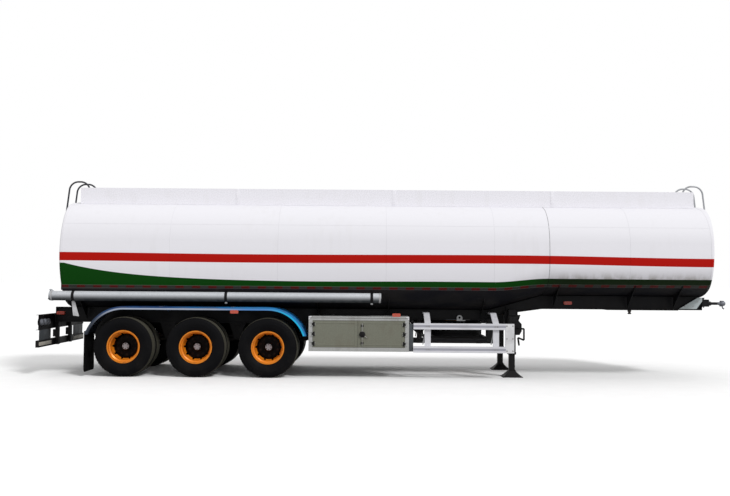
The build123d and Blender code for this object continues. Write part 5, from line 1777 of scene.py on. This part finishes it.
@dataclass
class LandingFittings(Assembly):
    """Bolts, guide collars, gearbox cover and crank grip of the landing gear.

    Attributes:
        place: Place of the legs along X.
        centre: Distance of the legs from the centre line.
        plate: Distance of the legs' mounting plates from the centre line.
        gearbox: Distance of the gearbox's outer face from the centre line.
        collars: Lower and upper face and half width of each collar round a leg.
        foot: Corners of a foot's rib: share of its distance from the leg, across and up.
        cover: Outline of the gearbox cover, ahead of the legs' place and up.
        gusset: Outline of a leg's gusset.
        crank: Points of the crank, ahead of the legs' place, along Y and up.
        grip: Profile of the crank's grip.
    """

    place: float = 2.310
    centre: float = 0.690
    plate: float = 0.6255
    gearbox: float = 0.8525
    collars: tuple[Point, ...] = ((0.416, 0.465, 0.072), (1.14, 1.165, 0.070))
    foot: tuple[Point, ...] = (
        (1.0, -0.12, 0.0125), (1.0, 0.12, 0.0125), (0.55, 0.05, 0.13), (0.55, -0.05, 0.13)
    )
    cover: Line = (
        (-0.010, 1.03), (0.09, 1.06), (0.15, 0.99), (0.15, 0.86), (0.11, 0.79), (0.0, 0.79)
    )
    gusset: Line = ((0.073, 1.02), (0.073, 1.155), (0.16, 1.155), (0.13, 1.05))
    crank: tuple[Point, ...] = (
        (0.075, -1.150, 0.920), (0.137, -1.180, 0.920), (0.140, -1.180, 0.917), (0.140, -1.180, 0.720),
        (0.136, -1.180, 0.717), (0.034, -1.180, 0.758), (0.031, -1.180, 0.752), (0.042, -1.180, 0.690),
    )
    grip: Line = (
        (0.0112, 0.0), (0.016, 0.004), (0.017, 0.05), (0.016, 0.096), (0.0112, 0.10)
    )

    def build(self) -> None:
        """Make the pieces."""
        form, cover, coat, grip = Form(), Form(), Form(), Form()
        bolts = []
        for side in Side:
            middle = side.value * self.centre
            for low, high, out in self.collars:
                along, across = (self.place - out, self.place + out), (self.centre - out, self.centre + out)
                form.block(along, across, (low, high), 0.004, side)
            bolts += [
                ((self.place + x, side.value * self.plate, z), side.out)
                for x in (-0.11, 0.11) for z in (1.02, 1.17)
            ]
            for x in (-0.1, 0.1):
                rib = [(self.place + x * share, middle + y, z) for share, y, z in self.foot]
                form.prism(rib, (0.008, 0, 0))
        self.shop.piece(form, "landing_leg_collars", "chassis_black", Slot.CABINET)
        cover.prism([(self.place + x, -0.856, z) for x, z in self.cover], (0.0, -0.049, 0.0))
        for side in Side:
            outline = [(self.place + x, side.value * 0.70, z) for x, z in self.gusset]
            cover.prism(outline, (0.0, side.value * 0.02, 0.0))
        along = (self.place - 0.075, self.place + 0.075)
        cover.block(along, (0.8452, self.gearbox), (0.905, 1.115), 0.003, Side.RIGHT)
        self.shop.piece(cover, "gearbox_cover", "chassis_black", Slot.CHASSIS)
        bolts += [
            ((self.place + x, -self.gearbox, z), Side.RIGHT.out)
            for x in (-0.06, 0.0, 0.06) for z in (0.925, 1.095)
        ]
        self.shop.bolts("landing_gear_bolts", bolts, 0.010, "chassis_black", Slot.CHASSIS)
        coat.rod([(self.place + x, y, z) for x, y, z in self.crank], 0.0165, 14)
        self.shop.piece(coat, "crank_coat", "black_moulding", Slot.CHASSIS)
        end = Vector((self.place + 0.052, -1.18, 0.617))
        run = (Vector((self.place + 0.030, -1.18, 0.760)) - end).normalized()
        grip.lathe(self.grip, end, run, 20)
        self.shop.piece(grip, "crank_grip", "black_moulding", Slot.CHASSIS)


@dataclass
class BumperFittings(Assembly):
    """Reflecting tape, lamp rims, blank plate, buffers and bolts of the rear bumper.

    Attributes:
        rear: Rear face of the bar.
        panel: Rear face of the lamp panel.
        end: Distance of the tapes' outer ends from the centre line.
        lamps: Distances of the lamps from the centre line.
        lamp_height: Height of the lamps.
        tape_up: Lower and upper edge of the tape.
        inner_up: The same of the tape on the bar's front face.
        plate_up: The same of the blank plate.
        board_up: The same of the reflector boards.
        buffer_up: The same of the buffers.
        back: Profile of a lamp's housing.
        rim: Profile of a lamp's rim.
        dome: Profile of a lamp's lens.
    """

    rear: float = -6.400
    panel: float = -6.355
    end: float = 1.230
    lamps: tuple[float, ...] = (1.120, 0.960, 0.800)
    lamp_height: float = 0.970
    tape_up: tuple[float, float] = (0.552, 0.604)
    inner_up: tuple[float, float] = (0.545, 0.610)
    plate_up: tuple[float, float] = (0.880, 0.995)
    board_up: tuple[float, float] = (0.638, 0.832)
    buffer_up: tuple[float, float] = (0.66, 0.80)
    back: Line = (
        (0.0, 0.0), (0.060, 0.0), (0.057, 0.030), (0.042, 0.045), (0.018, 0.047), (0.0, 0.055)
    )
    rim: Line = (
        (0.0652, -0.030), (0.072, -0.032), (0.074, -0.004), (0.0652, -0.002)
    )
    dome: Line = (
        (0.0, -0.0400), (0.030, -0.0385), (0.052, -0.0355), (0.0645, -0.0322)
    )

    def build(self) -> None:
        """Make the pieces."""
        rear, panel = self.rear, self.panel
        tape, inner, boards, backs, rims, lenses, plate, buffers = (Form() for _ in range(8))
        bolts = []
        for width in ((-self.end, -0.42), (-0.28, 0.28), (0.42, self.end)):
            tape.block((rear + 0.0002, rear + 0.0012), width, self.tape_up, 0.0004)
        plate.block((panel - 0.004, panel - 0.0002), (-0.26, 0.26), self.plate_up, 0.0015)
        for side in Side:
            inner.block((rear + 0.0602, rear + 0.0612), (0.60, self.end), self.inner_up, 0.0004, side)
            boards.block((panel + 0.001, panel + 0.006), (0.62, 1.20), self.board_up, 0.002, side)
            buffers.block((rear + 0.001, rear + 0.052), (0.315, 0.385), self.buffer_up, 0.008, side)
            for place in self.lamps:
                centre = (panel, side.value * place, self.lamp_height)
                backs.lathe(self.back, (panel + 0.0062, *centre[1:]), (1, 0, 0), 28)
                rims.lathe(self.rim, centre, (1, 0, 0), 40, closed=True)
                lenses.lathe(self.dome, centre, (1, 0, 0), 40)
            spots = [(panel, y, z) for y in (0.45, 0.62, 1.20) for z in (0.86, 1.08)]
            spots += [(rear, y, z) for y in (0.33, 0.37) for z in (0.54, 0.615)]
            bolts += [((x, side.value * y, z), (-1, 0, 0)) for x, y, z in spots]
        for form, name, finish, slot in (
            (tape, "bumper_tape", "bumper_tape", Slot.CHASSIS),
            (inner, "bumper_inner_tape", "pale_tape", Slot.CHASSIS),
            (backs, "lamp_backs", "coupling_cast", Slot.LAMP),
            (boards, "reflector_boards", "guard_dark", Slot.CHASSIS),
            (rims, "lamp_rims", "black_moulding", Slot.LAMP),
            (lenses, "lamp_lenses", "lens_red", Slot.LAMP),
            (plate, "blank_number_plate", "white_paint", Slot.CHASSIS),
        ):
            self.shop.piece(form, name, finish, slot)
        self.shop.bolts("bumper_bolts", bolts, 0.009, "zinc_bolts", Slot.CHASSIS)
        self.shop.piece(buffers, "bumper_buffers", "black_moulding", Slot.CHASSIS)


@dataclass
class AxleFittings(Assembly):
    """Clamp nuts, hanger bolts, brake chamber bands and slack adjusters.

    Attributes:
        hangers: Places of the hangers.
        rail: Distance of springs and rails from the centre line.
        chamber: Place of a brake chamber behind its axle, beside the centre line and up.
        arm: Points of a slack adjuster, ahead of its axle and up.
    """

    hangers: tuple[float, ...] = (-5.475, -4.165, -2.855, -1.545)
    rail: float = 0.470
    chamber: Point = (0.095, 0.30, 0.562)
    arm: Line = ((-0.095, 0.562), (-0.02, 0.49), (0.015, 0.44))

    def build(self) -> None:
        """Make the pieces."""
        bands = Form()
        bolts = []
        behind, beside, height = self.chamber
        for side in Side:
            middle, y = side.value * self.rail, side.value * beside
            for axle in AXLES.values():
                bolts += [
                    ((axle + x, middle + across, 0.707), (0, 0, 1))
                    for x in (-0.075, 0.075) for across in (-0.061, 0.061)
                ]
                for along in (-0.165, -0.105, -0.04):
                    section = [(0.0782, -0.008), (0.083, -0.006), (0.083, 0.006), (0.0782, 0.008)]
                    band = [(radius, along + shift) for radius, shift in section]
                    bands.lathe(band, (axle - behind, y, height), (1, 0, 0), 32, closed=True)
                bands.rod([(axle + x, y, z) for x, z in self.arm], 0.014, 10)
            bolts += [
                ((hanger + x, middle + face * 0.0572, z), (0, face, 0)) for hanger in self.hangers
                for x, z in ((-0.04, 0.90), (0.04, 0.90), (0.0, 0.665)) for face in (-1, 1)
            ]
        self.shop.piece(bands, "brake_chamber_bands", "axle_black", Slot.AXLE)
        self.shop.bolts("suspension_bolts", bolts, 0.013, "axle_black", Slot.AXLE)


@dataclass
class FrontFittings(Assembly):
    """Coupling heads and hoses, the electric socket and bolts at the front.

    Attributes:
        tip: Foremost place of the coupling heads.
        side: Distance of the heads from the centre line.
        height: Height of the heads.
        beam: Front face of the beam that carries them.
        hook: Points of a coupling's hook, behind the tip and below its middle.
        head: Profile of a coupling head.
        socket: Profile of the electric socket.
    """

    tip: float = 6.400
    side: float = 0.480
    height: float = 1.390
    beam: float = 6.080
    hook: Line = ((0.055, 0.03), (0.045, 0.085), (0.020, 0.10))
    head: Line = (
        (0.0, -0.150), (0.020, -0.150), (0.028, -0.135), (0.028, -0.105), (0.036, -0.095),
        (0.044, -0.070), (0.046, -0.040), (0.040, -0.012), (0.030, -0.002), (0.0, 0.0),
    )
    socket: Line = (
        (0.0, 0.0), (0.046, 0.0), (0.046, 0.012), (0.034, 0.014), (0.034, 0.060), (0.039, 0.062),
        (0.039, 0.085), (0.030, 0.088), (0.0, 0.088),
    )

    def build(self) -> None:
        """Make the pieces."""
        form, hoses, socket = Form(), Form(), Form()
        tip, height = self.tip, self.height
        bolts = []
        for side in Side:
            y = side.value * self.side
            form.rod([(self.beam, y, height), (tip - 0.11, y, height)], 0.014, 16)
            form.rod([(tip - back, y, height - drop) for back, drop in self.hook], 0.013, 12)
            form.lathe(self.head, (tip, y, height), (1, 0, 0), 32)
            for back, front, half, low, high, bevel in (
                (0.090, 0.030, 0.034, 0.02, 0.055, 0.006), (0.105, 0.045, 0.012, -0.054, -0.01, 0.004)
            ):
                across = (self.side - half, self.side + half)
                form.block((tip - back, tip - front), across, (height + low, height + high), bevel, side)
            for end, radius in ((tip - 0.152, 0.026), (self.beam + 0.05, 0.038)):
                hoses.rod([(self.beam + 0.004, y, height), (end, y, height)], radius, 20)
            bolts += [
                ((self.beam, side.value * place, height + rise), (1, 0, 0))
                for place in (0.40, 0.56, 0.07) for rise in (-0.035, 0.035)
            ]
        for side in Side:
            spots = ((5.62, 1.335), (5.78, 1.335), (5.86, 1.42))
            bolts += [((x, side.value * 0.530, z), side.out) for x, z in spots]
        self.shop.piece(hoses, "coupling_hoses", "black_moulding", Slot.COUPLING)
        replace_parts(self.shop.piece(form, "coupling_heads", "coupling_cast", Slot.COUPLING), "air_couplings")
        socket.lathe(self.socket, (self.beam, 0.0, height), (1, 0, 0), 32)
        self.shop.piece(socket, "electric_socket", "black_moulding", Slot.COUPLING)
        self.shop.bolts("front_bolts", bolts, 0.008, "zinc_bolts", Slot.COUPLING)


@dataclass
class Studio:
    """Floor, sun, sky and the camera at the photograph's place.

    Attributes:
        eye: Place of the camera.
        lens: Focal length in millimetres.
        pitch: Upward tilt in degrees.
        roll: Turn about the line of sight in degrees.
        floor_half: Half length of the floor.
        sky: Strength of the even light.
        sun: Strength of the sun.
        sun_turn: Turn of the sun in degrees, which lights from above the camera's right shoulder.
        sun_angle: Width of the sun in degrees.
    """

    eye: Point = (-0.45, -16.85, 1.766)
    lens: float = 42.4
    pitch: float = 2.2
    roll: float = 0.45
    floor_half: float = 300.0
    sky: float = 0.78
    sun: float = 1.60
    sun_turn: Point = (46.0, 0.0, 42.0)
    sun_angle: float = 12.0

    def build(self) -> None:
        """Make the camera, the sun, the sky and the floor."""
        self.camera()
        data = bpy.data.lights.new("sun", "SUN")
        data.energy = self.sun
        data.angle = math.radians(self.sun_angle)
        self.add("sun", data).rotation_euler = [math.radians(turn) for turn in self.sun_turn]
        self.world()
        self.floor()
        bpy.context.scene.view_settings.view_transform = "Standard"

    def add(self, name: str, data: bpy.types.ID) -> bpy.types.Object:
        """Add an object to the scene.

        Args:
            name: Name of the object.
            data: Its camera, light or mesh.

        Returns:
            The new object.
        """
        thing = bpy.data.objects.new(name, data)
        bpy.context.scene.collection.objects.link(thing)
        return thing

    def camera(self) -> None:
        """Place the camera."""
        data = bpy.data.cameras.new("camera")
        data.lens = self.lens
        data.sensor_width = 36.0
        data.clip_end = 2000.0
        camera = self.add("camera", data)
        camera.location = self.eye
        turn = Euler((math.radians(90 + self.pitch), 0.0, 0.0)).to_matrix()
        camera.rotation_euler = (turn @ Matrix.Rotation(math.radians(self.roll), 3, "Z")).to_euler()
        bpy.context.scene.camera = camera

    def world(self) -> None:
        """Make an even sky that the camera sees as white."""
        world = bpy.data.worlds.new("sky")
        bpy.context.scene.world = world
        world.use_nodes = True
        tree = world.node_tree
        tree.nodes.clear()
        path = tree.nodes.new("ShaderNodeLightPath").outputs
        seen = tree.nodes.new("ShaderNodeMath")
        seen.operation = "MAXIMUM"
        tree.links.new(path["Is Camera Ray"], seen.inputs[0])
        tree.links.new(path["Is Transmission Ray"], seen.inputs[1])
        mixed = tree.nodes.new("ShaderNodeMixShader")
        tree.links.new(seen.outputs[0], mixed.inputs[0])
        for index, strength in ((1, self.sky), (2, 1.0)):
            light = tree.nodes.new("ShaderNodeBackground")
            light.inputs["Color"].default_value = (1.0, 1.0, 1.0, 1.0)
            light.inputs["Strength"].default_value = strength
            tree.links.new(light.outputs[0], mixed.inputs[index])
        tree.links.new(mixed.outputs[0], tree.nodes.new("ShaderNodeOutputWorld").inputs[0])

    def floor(self) -> None:
        """Lay a pale floor that keeps the object's shadow."""
        data = bpy.data.meshes.new("floor")
        half = self.floor_half
        corners = [(-half, -half, 0), (half, -half, 0), (half, half, 0), (-half, half, 0)]
        data.from_pydata(corners, [], [range(4)])
        graph = Graph("pale_floor")
        seen = graph.tree.nodes.new("ShaderNodeLightPath").outputs["Is Camera Ray"]
        pale = graph.mix(graph.span(graph.noise(3.0, 4.0), 0.3, 0.7), (0.93, 0.93, 0.93), (0.95, 0.95, 0.95))
        colour = graph.mix(seen, (0.42, 0.42, 0.42), pale)
        data.materials.append(graph.finish(Base_Color=colour, Roughness=0.9, Specular_IOR_Level=0.0))
        self.add("floor", data)


def main() -> None:
    """Build the studio and dress the trailer."""
    logging.basicConfig(level=logging.INFO, format="%(name)s %(message)s")
    Studio().build()
    shop = Workshop()
    for assembly in (
        Seams, Tyres, WheelFittings, RoofFittings, TubeFittings, MudguardFittings, CabinetFittings,
        GuardFittings, LandingFittings, BumperFittings, AxleFittings, FrontFittings,
    ):
        LOG.info("building %s", assembly.__name__)
        assembly(shop).build()


if __name__ == "__main__":
    main()
